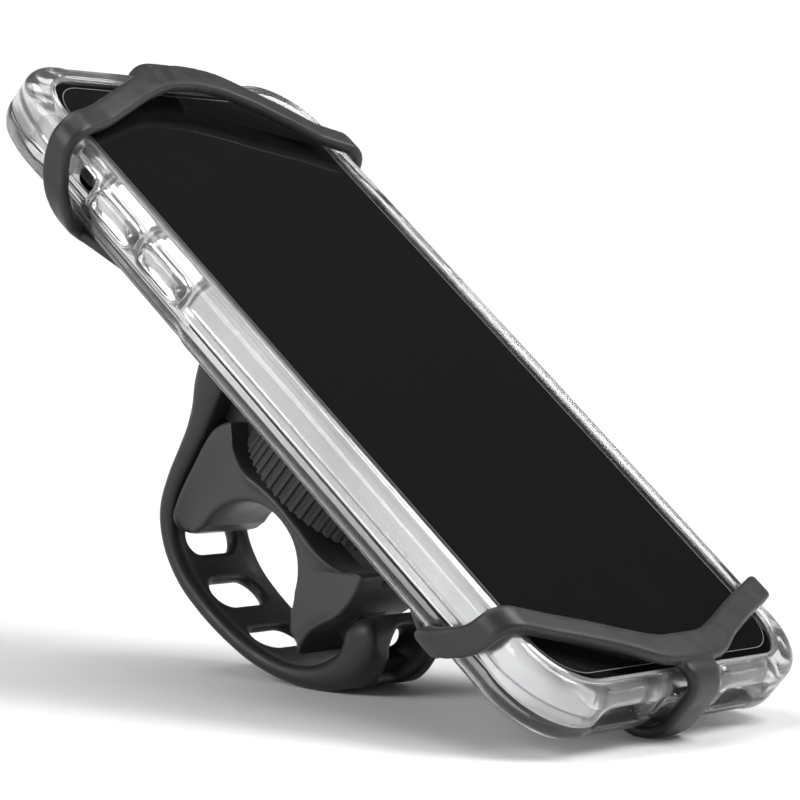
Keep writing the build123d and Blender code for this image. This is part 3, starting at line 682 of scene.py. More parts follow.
# %% [markdown]
# ## The yokes' strips
# Every strip takes the same way round the case's edge. Only its start over the screen and its way in
# along the back are its own. So the arms and the leg share one function for the way round.

# %% Yokes
def yoke_arms(end, front, rim_y, arch):
    """Both arms as one strip: one from the middle of the screen to the pad, then its mirror."""
    line = smooth_line(front + ((SIDE_X - ROLL_R, rim_y + RIM_DIP),), 200)
    flat = np.linspace(0, SIDE_X - ROLL_R, 44)
    flat_z = FRONT_Z + arch * np.clip(1 - (flat / ARCH_REACH) ** 2, 0, 1)
    inward = np.linspace(0, 1, 26)[1:]
    edge_x = SIDE_X - TURN_R
    x, z, nx, nz = wrap_case(SIDE_X, flat, flat_z, edge_x + (ROOT_X - edge_x) * inward)
    y = rim_y - DRIFT * np.clip(z, DRIFT_STOP, 0) ** 2
    y[:len(flat)] = np.interp(flat, line[:, 0], line[:, 1])
    y[len(flat):len(flat) + len(QUARTER)] += RIM_DIP * (1 - np.sin(QUARTER))
    turned = y[-len(inward) - 1]
    y[-len(inward):] = turned + (ROOT_REACH + end * SWIVEL_Y - turned) * inward
    y[2:-2] = np.convolve(y, np.ones(5) / 5, "valid")
    path, normal = np.stack([x, y * end, z], 1), np.stack([nx, 0 * nx, nz], 1)
    wide = strip_widths(path, *ARM_WIDTHS)
    mirror = np.array([-1, 1, 1])
    path = np.concatenate([path[:0:-1] * mirror, path])
    normal = np.concatenate([normal[:0:-1] * mirror, normal])
    return band(path, normal, np.r_[wide[:0:-1], wide], BAND_T)


def yoke_leg(end, front, arch):
    """From inside the arms' meeting, over the end of the case, and back to the pad."""
    end_y = CASE_HIGH[1] + REST
    flat = np.linspace(front[0][1] - LEG_INSIDE, end_y - ROLL_R, 10)
    sink = np.clip((end_y - ROLL_R - flat) / (end_y - ROLL_R - flat[0]), 0, 1)
    back = np.linspace(end_y - TURN_R, LEG_REACH + end * SWIVEL_Y, 40)[1:]
    y, z, ny, nz = wrap_case(end_y, flat, FRONT_Z + arch * sink**1.5, back)
    path, normal = np.stack([0 * y, y * end, z], 1), np.stack([0 * y, ny * end, nz], 1)
    return band(path, normal, strip_widths(path, *LEG_WIDTHS), BAND_T)


yokes = []
for node, (end, front, rim_y, arch) in YOKES.items():
    strips = [yoke_arms(end, front, rim_y, arch), yoke_leg(end, front, arch)]
    piece = melt(add_solids(node.replace("yoke", "band"), strips), SKIN_VOXEL, SKIN_ROUNDS)
    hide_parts(node)
    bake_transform(piece)
    yokes.append(piece)
    print(piece.name, "faces", len(piece.data.polygons))

# %% [markdown]
# ## The cradle's pad
# Behind the phone the bands grow out of a thick oval pad, which the core plate is let into. A
# cylinder would have hard rims, so the pad is a superellipse turned round and stretched.

# %% Pad
PAD_RX, PAD_RY, PAD_SQUARE = 25.0, 30.0, 0.28
CORE_R = (CORE_HIGH[0] - CORE_LOW[0]) / 2


def oval_pad(rings=48, around=128):
    """|r|^p + |z|^p = 1 turned round, with r and z powers of cos and sin of one angle."""
    swing = np.linspace(-math.pi / 2, math.pi / 2, rings)
    reach = np.abs(np.cos(swing)) ** PAD_SQUARE
    rise = signed_power(np.sin(swing), PAD_SQUARE)
    angle = np.linspace(0, 2 * math.pi, around, endpoint=False)
    front, back = CASE_LOW[2] - 0.1, CORE_LOW[2]
    x = reach[:, None] * np.cos(angle) * PAD_RX
    y = SWIVEL_Y + reach[:, None] * np.sin(angle) * PAD_RY
    z = np.broadcast_to((front + back) / 2 + rise[:, None] * (front - back) / 2, x.shape)
    return close_tube(np.stack([x, y, z], -1))


def disc(radius, z_low, z_high, around=96):
    """Plain round plug on the swivel axis, for cutting."""
    angle = np.linspace(0, 2 * math.pi, around, endpoint=False)
    ring = np.stack([radius * np.cos(angle), SWIVEL_Y + radius * np.sin(angle), 0 * angle], -1)
    return close_tube(np.stack([ring + (0, 0, z_low), ring + (0, 0, z_high)]))


cradle = add_solids("cradle_back", [oval_pad()])
cut(cradle, "core_room", [disc(CORE_R + 0.05, CORE_LOW[2] - 1, CORE_HIGH[2] + 0.05)])
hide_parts("cradle_pad")
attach(cradle, "cradle")
print("pad faces", len(cradle.data.polygons))

# %% [markdown]
# ## The clear case
# The case is one soft clear shell with a raised lip, air-cushion corners that swell out, a moulded
# groove along its side, and a scooped hollow below the volume keys. A box with rounded edges
# shows none of that. So its section is drawn once, from the inside of the back round the lip to
# the outside of the back, and carried round a rounded rectangle. The openings are then cut.

# %% Case shell
CASE_HALF = (CASE_HIGH - CASE_LOW)[:2] / 2
CASE_R, LIP_EDGE, LIP_IN = 14.0, 2.6, 3.95
phone_low, phone_high = bench_box("phone_frame")
PHONE_HALF = phone_high[:2] + 0.1
PHONE_R, PHONE_EDGE, PHONE_BACK = 10.6, 2.3, phone_low[2] - 0.1
BULGE = 1.2
# the scoop below the keys: its depth, where it fades in and out along Y, and where it ends in Z
RELIEF, RELIEF_Y, RELIEF_Z = 1.2, (16.5, 20.0, 57.0, 60.0), (-6.9, -6.2)
# moulded grooves: height on the bench, depth, half width
GROOVES = ((-6.1, 0.4, 0.30), (-10.1, 0.25, 0.18))


def ring_plan(corner=20, short_side=26, long_side=110):
    """For each point round a rounded rectangle: its corner centre's signs and outward direction."""
    corners = ((1, 1), (-1, 1), (-1, -1), (1, -1))
    signs, ways = [], []
    for number, (sx, sy) in enumerate(corners):
        turn = np.linspace(0, math.pi / 2, corner) + number * math.pi / 2
        signs.append(np.broadcast_to((sx, sy), (corner, 2)))
        ways.append(np.stack([np.cos(turn), np.sin(turn)], 1))
        steps = np.linspace(0, 1, (short_side, long_side)[number % 2] + 2)[1:-1, None]
        after = np.array(corners[(number + 1) % 4])
        signs.append(np.array((sx, sy)) * (1 - steps) + after * steps)
        ways.append(np.broadcast_to(ways[-1][-1], (len(steps), 2)))
    return np.concatenate(signs), np.concatenate(ways)


def quarter_round(inset, z, radius_in, radius_z, steps):
    """(inset, z) points of a quarter ellipse that starts upright at (inset, z)."""
    turn = np.linspace(0, math.pi / 2, steps)
    return np.stack([inset + radius_in * (1 - np.cos(turn)), z + radius_z * np.sin(turn)], 1)


def case_surface():
    """Section stations (half sizes, corner radius, z) times the ring plan. The outside is then
    swollen at the corners, grooved along the side and scooped below the keys."""
    top, back = CASE_HIGH[2], CASE_LOW[2]
    inside = np.concatenate([
        [(28, PHONE_BACK), (16, PHONE_BACK), (6, PHONE_BACK)],
        quarter_round(0, PHONE_BACK + PHONE_EDGE, PHONE_EDGE, -PHONE_EDGE, 8)[::-1],
        [(0, -4.0), (0, -1.0), (0, 0.05), (0.6, 0.05)]])
    outside = np.concatenate([
        [(LIP_IN, 0.06), (LIP_IN, 0.3), (LIP_IN - 0.15, top - 0.15), (LIP_IN - 0.4, top)],
        [(LIP_EDGE + 0.5, top)],
        quarter_round(0, top - LIP_EDGE, LIP_EDGE, LIP_EDGE, 24)[::-1],
        np.stack([np.zeros(44), np.linspace(top - LIP_EDGE, back + CASE_EDGE, 46)[1:-1]], 1),
        quarter_round(0, back + CASE_EDGE, CASE_EDGE, -CASE_EDGE, 44),
        [(8, back), (14, back), (26, back)]])
    sizes = np.concatenate([PHONE_HALF - inside[:, :1], CASE_HALF - outside[:, :1]])
    radius = np.r_[np.maximum(PHONE_R - inside[:, 0], 0.01), np.maximum(CASE_R - outside[:, 0], 0.01)]
    z = np.r_[inside[:, 1], outside[:, 1]][:, None]
    signs, ways = ring_plan()
    corner = (2 * np.abs(ways[:, 0] * ways[:, 1])) ** 0.8
    skin = np.r_[np.zeros(len(inside)), 1 - soft_step(outside[:, 0], 1.5, 4.5)][:, None]
    swell = BULGE * corner * skin * soft_step(z, back, back + 2.5)
    for groove_z, depth, wide in GROOVES:
        swell = swell - depth * skin * np.exp(-((z - groove_z) / wide) ** 2)
    centre = signs * (sizes - radius[:, None])[:, None]
    points = centre + (radius[:, None] + swell)[:, :, None] * ways
    points = np.concatenate([points, np.broadcast_to(z, points.shape[:2])[:, :, None]], 2)
    low_y, full_y, fade_y, high_y = RELIEF_Y
    y = points[:, :, 1]
    scoop = soft_step(y, low_y, full_y) * (1 - soft_step(y, fade_y, high_y))
    scoop = scoop * (1 - soft_step(z, *RELIEF_Z)) * skin * (ways[:, 0] < -0.99)
    points[:, :, 0] += RELIEF * scoop
    return close_tube(points)


print("points of the case's skin:", len(case_surface()[0]))

# %% [markdown]
# ## The case's openings
# The keys, the mute switch, the port, the sound holes and the camera each need a way through the
# shell. The plugs for the keys, the mute switch and the camera are worked out from the CAD nodes that
# they make room for, so they can't be out of line; the port and the sound holes are set by a table.
# All of them are taken out in a single boolean, as they don't touch each other.

# %% Case openings
KEY_GAP, KEY_DEPTH = 0.3, 5.0
# each opening widens by its flare from a little way out, as a moulded one does
FLARE_START, PLUG_SQUARE = 0.9, 0.3
MUTE_SIZE, MUTE_FLARE = (7.0, 4.2), 0.6
MOUTH_DEPTH, MOUTH_FLARE = 4.0, 1.8
CAMERA_GAP, CAMERA_DEPTH, CAMERA_FLARE = 1.6, 2.8, 1.0
# mouths in the case's lower end, as middle X, width and height: sound, sound, and the port
MOUTHS, MOUTH_Z = ((-18.0, 12.4, 3.2), (18.0, 12.4, 3.2), (0.0, 12.6, 5.2)), -4.6


def opening(middle, way, wide, high, depth, flare=0.0):
    """A rounded plug through the case at middle, along way, wide across and high in Z or Y."""
    way = np.array(way, float)
    steps = np.array([-depth, 0, FLARE_START, depth])
    grow = np.array([0, 0, flare, flare])
    up = (0, 1, 0) if abs(way[2]) > 0.5 else (0, 0, 1)
    path = np.array(middle) + steps[:, None] * way
    return band(path, np.broadcast_to(up, path.shape), wide + grow, high + grow, PLUG_SQUARE)


def middle_and_size(node):
    """Middle and size of a CAD node's box on the bench."""
    low, high = bench_box(node)
    return (low + high) / 2, high - low


def key_opening(node, side):
    """The window for a key cover, cut from the cover's own CAD box."""
    middle, size = middle_and_size(node)
    place = (side * CASE_HALF[0] - side, middle[1], middle[2])
    return opening(place, (side, 0, 0), size[1] + KEY_GAP, size[2] + KEY_GAP, KEY_DEPTH)


openings = [
    key_opening("case_volume_up_cover", -1), key_opening("case_volume_down_cover", -1),
    key_opening("case_side_button_cover", 1)]
mute_middle, _ = middle_and_size("phone_mute_switch")
mute_place = (-CASE_HALF[0] + 1, *mute_middle[1:])
openings.append(opening(mute_place, (-1, 0, 0), *MUTE_SIZE, KEY_DEPTH, MUTE_FLARE))
for x_mouth, wide, high in MOUTHS:
    mouth = (x_mouth, -CASE_HALF[1] + 1.0, MOUTH_Z)
    openings.append(opening(mouth, (0, -1, 0), wide, high, MOUTH_DEPTH, MOUTH_FLARE))
camera_middle, camera_size = middle_and_size("phone_camera_island")
camera_hole = camera_size[:2] + CAMERA_GAP
camera_place = (*camera_middle[:2], CASE_LOW[2])
openings.append(opening(camera_place, (0, 0, -1), *camera_hole, CAMERA_DEPTH, CAMERA_FLARE))
case = cut(add_solids("case_body", [case_surface()]), "openings", openings)
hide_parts("case_shell")
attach(case, "cradle")
print("case faces", len(case.data.polygons))

# %% [markdown]
# ## The key covers
# Over each key the case has a thick pad that presses it. A plain box would do for its size, but the
# light shows a rounded rim and a finger groove along it. So it is a stack of rounded outlines: up
# the side, over the rim, and down a little into the groove.

# %% Key covers
# outlines from the foot to the groove: share of the pad's height, mm added to it, and mm set in
COVER_SHARE = np.array([0, 0.6, 1, 1, 1, 1, 1])
COVER_ADD = np.array([0, 0, -0.55, -0.25, 0, -0.02, -0.22])
COVER_INSET = np.array([0, 0, 0, 0.35, 0.9, 1.3, 1.9])
INSET_Z, ALONG_POWER, ACROSS_POWER = 0.85, 0.3, 0.5


def key_cover(node, side):
    """Stacked outlines, each made of powers of cos and sin of the angle round it."""
    middle, size = middle_and_size(node)
    foot = middle[0] - side * size[0] / 2
    angle = np.linspace(0, 2 * math.pi, 96, endpoint=False)
    along = signed_power(np.cos(angle), ALONG_POWER)
    across = signed_power(np.sin(angle), ACROSS_POWER)
    x = foot + side * (size[0] * COVER_SHARE + COVER_ADD)
    y = middle[1] + (size[1] / 2 - COVER_INSET)[:, None] * along
    z = middle[2] + (size[2] / 2 - COVER_INSET * INSET_Z)[:, None] * across
    return close_tube(np.stack([np.broadcast_to(x[:, None], y.shape), y, z], -1))


covers = []
for key, side in (("volume_up", -1), ("volume_down", -1), ("side_button", 1)):
    node = f"case_{key}_cover"
    cover = add_solids(f"{key}_pad", [key_cover(node, side)])
    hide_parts(node)
    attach(cover, key)
    covers.append(cover)
print(len(covers), "key covers")

# %% [markdown]
# ## A blank material
# A new material comes with two nodes already in it. Every finish below is drawn from an empty
# sheet, node by node, so that nothing in it is there by accident.

# %% Blank material
def blank_material(name):
    """A material with an empty node tree, with its nodes and links."""
    material = bpy.data.materials.new(name)
    material.use_nodes = True
    material.node_tree.nodes.clear()
    return material, material.node_tree.nodes, material.node_tree.links


print("materials so far:", len(bpy.data.materials))

# %% [markdown]
# ## Rubber
# The bands, pad and strap are matt silicone, and the saddle is a smoother, greyer rubber. Silicone
# is never one even black. Its tone drifts slowly, dust and skin oil make some patches shinier, and
# the mould leaves a fine grain. One function makes both, and its arguments say how strong each is.

# %% Rubber material
def rubber(name, dark, light, rough, grain, sheen):
    """Moulded rubber: tone drift, matt grain, patchy shine."""
    material, nodes, links = blank_material(name)

    place = nodes.new("ShaderNodeTexCoord")
    place.label, place.location = "place on the object", (-1200, 0)

    tone_frame = nodes.new("NodeFrame")
    tone_frame.label = "slow drift of tone"
    drift = nodes.new("ShaderNodeTexNoise")
    drift.label, drift.location, drift.parent = "drift", (-900, 300), tone_frame
    drift.inputs["Scale"].default_value = 70.0
    drift.inputs["Detail"].default_value = 4.0
    tone = nodes.new("ShaderNodeMix")
    tone.data_type = "RGBA"
    tone.label, tone.location, tone.parent = "dark to light", (-600, 300), tone_frame
    tone.inputs["A"].default_value = (*dark, 1)
    tone.inputs["B"].default_value = (*light, 1)
    links.new(place.outputs["Object"], drift.inputs["Vector"])
    links.new(drift.outputs["Fac"], tone.inputs["Factor"])

    shine_frame = nodes.new("NodeFrame")
    shine_frame.label = "patchy shine from handling"
    patches = nodes.new("ShaderNodeTexNoise")
    patches.label, patches.location, patches.parent = "patches", (-900, 0), shine_frame
    patches.inputs["Scale"].default_value = 260.0
    patches.inputs["Detail"].default_value = 5.0
    patches.inputs["Distortion"].default_value = 0.6
    shine = nodes.new("ShaderNodeMapRange")
    shine.label, shine.location, shine.parent = "roughness", (-600, 0), shine_frame
    shine.inputs["From Min"].default_value = 0.3
    shine.inputs["From Max"].default_value = 0.7
    shine.inputs["To Min"].default_value = rough - 0.07
    shine.inputs["To Max"].default_value = rough + 0.07
    links.new(place.outputs["Object"], patches.inputs["Vector"])
    links.new(patches.outputs["Fac"], shine.inputs["Value"])

    grain_frame = nodes.new("NodeFrame")
    grain_frame.label = "fine grain of the mould"
    specks = nodes.new("ShaderNodeTexNoise")
    specks.label, specks.location, specks.parent = "specks", (-900, -320), grain_frame
    specks.inputs["Scale"].default_value = 3600.0
    specks.inputs["Detail"].default_value = 2.0
    pits = nodes.new("ShaderNodeBump")
    pits.label, pits.location, pits.parent = "pits", (-600, -320), grain_frame
    pits.inputs["Strength"].default_value = grain
    pits.inputs["Distance"].default_value = 0.00004
    links.new(place.outputs["Object"], specks.inputs["Vector"])
    links.new(specks.outputs["Fac"], pits.inputs["Height"])

    shader = nodes.new("ShaderNodeBsdfPrincipled")
    shader.label, shader.location = "rubber", (-250, 0)
    shader.inputs["Specular IOR Level"].default_value = 0.42
    shader.inputs["Sheen Weight"].default_value = sheen
    shader.inputs["Sheen Roughness"].default_value = 0.4
    links.new(tone.outputs["Result"], shader.inputs["Base Color"])
    links.new(shine.outputs["Result"], shader.inputs["Roughness"])
    links.new(pits.outputs["Normal"], shader.inputs["Normal"])
    result = nodes.new("ShaderNodeOutputMaterial")
    result.label, result.location = "result", (80, 0)
    links.new(shader.outputs["BSDF"], result.inputs["Surface"])
    return material


silicone = rubber("silicone", (0.012, 0.012, 0.013), (0.022, 0.023, 0.026), 0.44, 0.45, 0.05)
saddle_rubber = rubber("saddle_rubber", (0.036, 0.036, 0.037), (0.05, 0.05, 0.051), 0.42, 0.25, 0.06)
print("rubber:", silicone.name, saddle_rubber.name)

# %% [markdown]
# ## Nylon
# The base, the ring and the core plate are moulded nylon, and the friction washer is the same
# polymer left its natural cream. Moulded nylon has a leathery spark texture, and its flow shows as
# faint streaks. A Voronoi pattern gives the leather, and stretched noise the streaks.

# %% Nylon material
def nylon(name, dark, light, rough, leather):
    """Moulded nylon: flow streaks under a spark-textured skin."""
    material, nodes, links = blank_material(name)

    place = nodes.new("ShaderNodeTexCoord")
    place.label, place.location = "place on the object", (-1400, 0)

    flow_frame = nodes.new("NodeFrame")
    flow_frame.label = "flow streaks"
    stretch = nodes.new("ShaderNodeMapping")
    stretch.label, stretch.location, stretch.parent = "stretch", (-1150, 300), flow_frame
    stretch.inputs["Scale"].default_value = (1.0, 0.2, 1.0)
    streaks = nodes.new("ShaderNodeTexNoise")
    streaks.label, streaks.location, streaks.parent = "streaks", (-900, 300), flow_frame
    streaks.inputs["Scale"].default_value = 420.0
    streaks.inputs["Detail"].default_value = 3.0
    tone = nodes.new("ShaderNodeMix")
    tone.data_type = "RGBA"
    tone.label, tone.location, tone.parent = "dark to light", (-600, 300), flow_frame
    tone.inputs["A"].default_value = (*dark, 1)
    tone.inputs["B"].default_value = (*light, 1)
    links.new(place.outputs["Object"], stretch.inputs["Vector"])
    links.new(stretch.outputs["Vector"], streaks.inputs["Vector"])
    links.new(streaks.outputs["Fac"], tone.inputs["Factor"])

    skin_frame = nodes.new("NodeFrame")
    skin_frame.label = "spark-textured skin"
    cells = nodes.new("ShaderNodeTexVoronoi")
    cells.label, cells.location, cells.parent = "cells", (-900, -60), skin_frame
    cells.feature = "SMOOTH_F1"
    cells.inputs["Scale"].default_value = 2400.0
    dents = nodes.new("ShaderNodeBump")
    dents.label, dents.location, dents.parent = "dents", (-600, -60), skin_frame
    dents.inputs["Strength"].default_value = leather
    dents.inputs["Distance"].default_value = 0.00005
    matt = nodes.new("ShaderNodeMapRange")
    matt.label, matt.location, matt.parent = "roughness", (-600, -320), skin_frame
    matt.inputs["To Min"].default_value = rough
    matt.inputs["To Max"].default_value = rough + 0.18
    links.new(place.outputs["Object"], cells.inputs["Vector"])
    links.new(cells.outputs["Distance"], dents.inputs["Height"])
    links.new(cells.outputs["Distance"], matt.inputs["Value"])

    shader = nodes.new("ShaderNodeBsdfPrincipled")
    shader.label, shader.location = "nylon", (-250, 0)
    shader.inputs["Specular IOR Level"].default_value = 0.45
    links.new(tone.outputs["Result"], shader.inputs["Base Color"])
    links.new(matt.outputs["Result"], shader.inputs["Roughness"])
    links.new(dents.outputs["Normal"], shader.inputs["Normal"])
    result = nodes.new("ShaderNodeOutputMaterial")
    result.label, result.location = "result", (80, 0)
    links.new(shader.outputs["BSDF"], result.inputs["Surface"])
    return material


black_nylon = nylon("black_nylon", (0.012, 0.012, 0.013), (0.026, 0.026, 0.028), 0.42, 0.5)
cream_nylon = nylon("cream_nylon", (0.46, 0.43, 0.35), (0.58, 0.55, 0.46), 0.38, 0.2)
print("nylon:", black_nylon.name, cream_nylon.name)

# %% [markdown]
# ## Metal
# The bolt, pin, screws and wave spring are steel, and the nut is brass. The phone's band and keys are
# polished silver metal. Turned parts carry fine rings round their axis, while the phone's band was
# polished along its length. So one function takes the grain's stretch along the three directions.
# An even grey metal would look like a mirror, and shows no sign of how a part was made.

# %% Metal material
def metal(name, dark, light, rough, stretch_by, scratch, scale):
    """Worked metal: fine lines along one direction, and a clouded tone."""
    material, nodes, links = blank_material(name)

    place = nodes.new("ShaderNodeTexCoord")
    place.label, place.location = "place on the object", (-1700, 0)
    flat = nodes.new("ShaderNodeMapping")
    flat.label, flat.location = "back on the bench", (-1450, 0)
    flat.inputs["Rotation"].default_value = (-lean, 0, 0)
    links.new(place.outputs["Object"], flat.inputs["Vector"])

    line_frame = nodes.new("NodeFrame")
    line_frame.label = "tool lines"
    stretch = nodes.new("ShaderNodeMapping")
    stretch.label, stretch.location, stretch.parent = "stretch", (-1200, -200), line_frame
    stretch.inputs["Scale"].default_value = stretch_by
    lines = nodes.new("ShaderNodeTexNoise")
    lines.label, lines.location, lines.parent = "lines", (-950, -200), line_frame
    lines.inputs["Scale"].default_value = scale
    lines.inputs["Detail"].default_value = 3.0
    cuts = nodes.new("ShaderNodeBump")
    cuts.label, cuts.location, cuts.parent = "cuts", (-650, -300), line_frame
    cuts.inputs["Strength"].default_value = scratch
    cuts.inputs["Distance"].default_value = 0.00003
    polish = nodes.new("ShaderNodeMapRange")
    polish.label, polish.location, polish.parent = "roughness", (-650, -60), line_frame
    polish.inputs["To Min"].default_value = rough - 0.06
    polish.inputs["To Max"].default_value = rough + 0.08
    links.new(flat.outputs["Vector"], stretch.inputs["Vector"])
    links.new(stretch.outputs["Vector"], lines.inputs["Vector"])
    links.new(lines.outputs["Fac"], cuts.inputs["Height"])
    links.new(lines.outputs["Fac"], polish.inputs["Value"])

    tone_frame = nodes.new("NodeFrame")
    tone_frame.label = "clouded tone"
    clouds = nodes.new("ShaderNodeTexNoise")
    clouds.label, clouds.location, clouds.parent = "clouds", (-950, 260), tone_frame
    clouds.inputs["Scale"].default_value = 110.0
    clouds.inputs["Detail"].default_value = 5.0
    tone = nodes.new("ShaderNodeMix")
    tone.data_type = "RGBA"
    tone.label, tone.location, tone.parent = "dark to light", (-650, 260), tone_frame
    tone.inputs["A"].default_value = (*dark, 1)
    tone.inputs["B"].default_value = (*light, 1)
    links.new(flat.outputs["Vector"], clouds.inputs["Vector"])
    links.new(clouds.outputs["Fac"], tone.inputs["Factor"])

    shader = nodes.new("ShaderNodeBsdfPrincipled")
    shader.label, shader.location = "metal", (-300, 0)
    shader.inputs["Metallic"].default_value = 1.0
    links.new(tone.outputs["Result"], shader.inputs["Base Color"])
    links.new(polish.outputs["Result"], shader.inputs["Roughness"])
    links.new(cuts.outputs["Normal"], shader.inputs["Normal"])
    result = nodes.new("ShaderNodeOutputMaterial")
    result.label, result.location = "result", (40, 0)
    links.new(shader.outputs["BSDF"], result.inputs["Surface"])
    return material


steel = metal("steel", (0.42, 0.42, 0.43), (0.62, 0.62, 0.63), 0.26, (0.15, 0.15, 1.0), 0.3, 5200)
brass = metal("brass", (0.6, 0.44, 0.2), (0.78, 0.6, 0.3), 0.24, (0.15, 0.15, 1.0), 0.3, 4600)
silver = metal("silver", (0.68, 0.68, 0.69), (0.86, 0.86, 0.86), 0.16, (1.0, 0.05, 1.0), 0.12, 3800)
print("metal:", steel.name, brass.name, silver.name)

# %% [markdown]
# ## Clear plastic
# The case is clear soft plastic, but it is not window glass. It is slightly milky, its faces wander a
# little, and fine scuffs dull it in places. So most of it is a refracting shader, with a small share
# of pale scattering, and waves in the surface that stretch the highlights.

# %% Clear material
def clear_plastic(name, tint, milk, milk_low, milk_high):
    """Clear elastomer: refraction with a share of milky scattering, waves and scuffs."""
    material, nodes, links = blank_material(name)

    place = nodes.new("ShaderNodeTexCoord")
    place.label, place.location = "place on the object", (-1500, 0)

    wave_frame = nodes.new("NodeFrame")
    wave_frame.label = "wandering faces"
    waves = nodes.new("ShaderNodeTexNoise")
    waves.label, waves.location, waves.parent = "waves", (-1200, -300), wave_frame
    waves.inputs["Scale"].default_value = 120.0
    waves.inputs["Detail"].default_value = 1.5
    wander = nodes.new("ShaderNodeBump")
    wander.label, wander.location, wander.parent = "wander", (-900, -300), wave_frame
    wander.inputs["Strength"].default_value = 0.25
    wander.inputs["Distance"].default_value = 0.0004
    links.new(place.outputs["Object"], waves.inputs["Vector"])
    links.new(waves.outputs["Fac"], wander.inputs["Height"])

    scuff_frame = nodes.new("NodeFrame")
    scuff_frame.label = "scuffs"
    scuffs = nodes.new("ShaderNodeTexNoise")
    scuffs.label, scuffs.location, scuffs.parent = "scuffs", (-1200, 0), scuff_frame
    scuffs.inputs["Scale"].default_value = 700.0
    scuffs.inputs["Detail"].default_value = 6.0
    scuffs.inputs["Distortion"].default_value = 1.2
    dull = nodes.new("ShaderNodeMapRange")
    dull.label, dull.location, dull.parent = "roughness", (-900, 0), scuff_frame
    dull.inputs["From Min"].default_value = 0.4
    dull.inputs["From Max"].default_value = 0.75
    dull.inputs["To Min"].default_value = 0.05
    dull.inputs["To Max"].default_value = 0.2
    links.new(place.outputs["Object"], scuffs.inputs["Vector"])
    links.new(scuffs.outputs["Fac"], dull.inputs["Value"])

    milk_frame = nodes.new("NodeFrame")
    milk_frame.label = "milkiness"
    haze = nodes.new("ShaderNodeTexNoise")
    haze.label, haze.location, haze.parent = "haze", (-1200, 300), milk_frame
    haze.inputs["Scale"].default_value = 45.0
    haze.inputs["Detail"].default_value = 3.0
    share = nodes.new("ShaderNodeMapRange")
    share.label, share.location, share.parent = "milky share", (-900, 300), milk_frame
    share.inputs["From Min"].default_value = 0.3
    share.inputs["From Max"].default_value = 0.7
    share.inputs["To Min"].default_value = milk_low
    share.inputs["To Max"].default_value = milk_high
    links.new(place.outputs["Object"], haze.inputs["Vector"])
    links.new(haze.outputs["Fac"], share.inputs["Value"])

    clear = nodes.new("ShaderNodeBsdfPrincipled")
    clear.label, clear.location = "clear", (-500, 0)
    clear.inputs["Base Color"].default_value = (*tint, 1)
    clear.inputs["Transmission Weight"].default_value = 1.0
    clear.inputs["IOR"].default_value = 1.46
    links.new(dull.outputs["Result"], clear.inputs["Roughness"])
    links.new(wander.outputs["Normal"], clear.inputs["Normal"])
    milky = nodes.new("ShaderNodeBsdfTranslucent")
    milky.label, milky.location = "milk", (-500, -420)
    milky.inputs["Color"].default_value = (*milk, 1)
    both = nodes.new("ShaderNodeMixShader")
    both.label, both.location = "clear with milk", (-150, 0)
    result = nodes.new("ShaderNodeOutputMaterial")
    result.label, result.location = "result", (80, 0)
    links.new(share.outputs["Result"], both.inputs["Fac"])
    links.new(clear.outputs["BSDF"], both.inputs[1])
    links.new(milky.outputs["BSDF"], both.inputs[2])
    links.new(both.outputs["Shader"], result.inputs["Surface"])
    return material


clear_case = clear_plastic("clear_case", (0.93, 0.935, 0.94), (0.72, 0.72, 0.72), 0.04, 0.14)
print("clear:", clear_case.name)

# %% [markdown]
# ## Glass
# The phone's front is black glass, switched off. A hair-thin grey line runs round it where the black
# border ends, and finger marks dull it a little. The line could be a modelled strip, but it is
# printed under the glass. So it is drawn from the distance to a rounded rectangle.

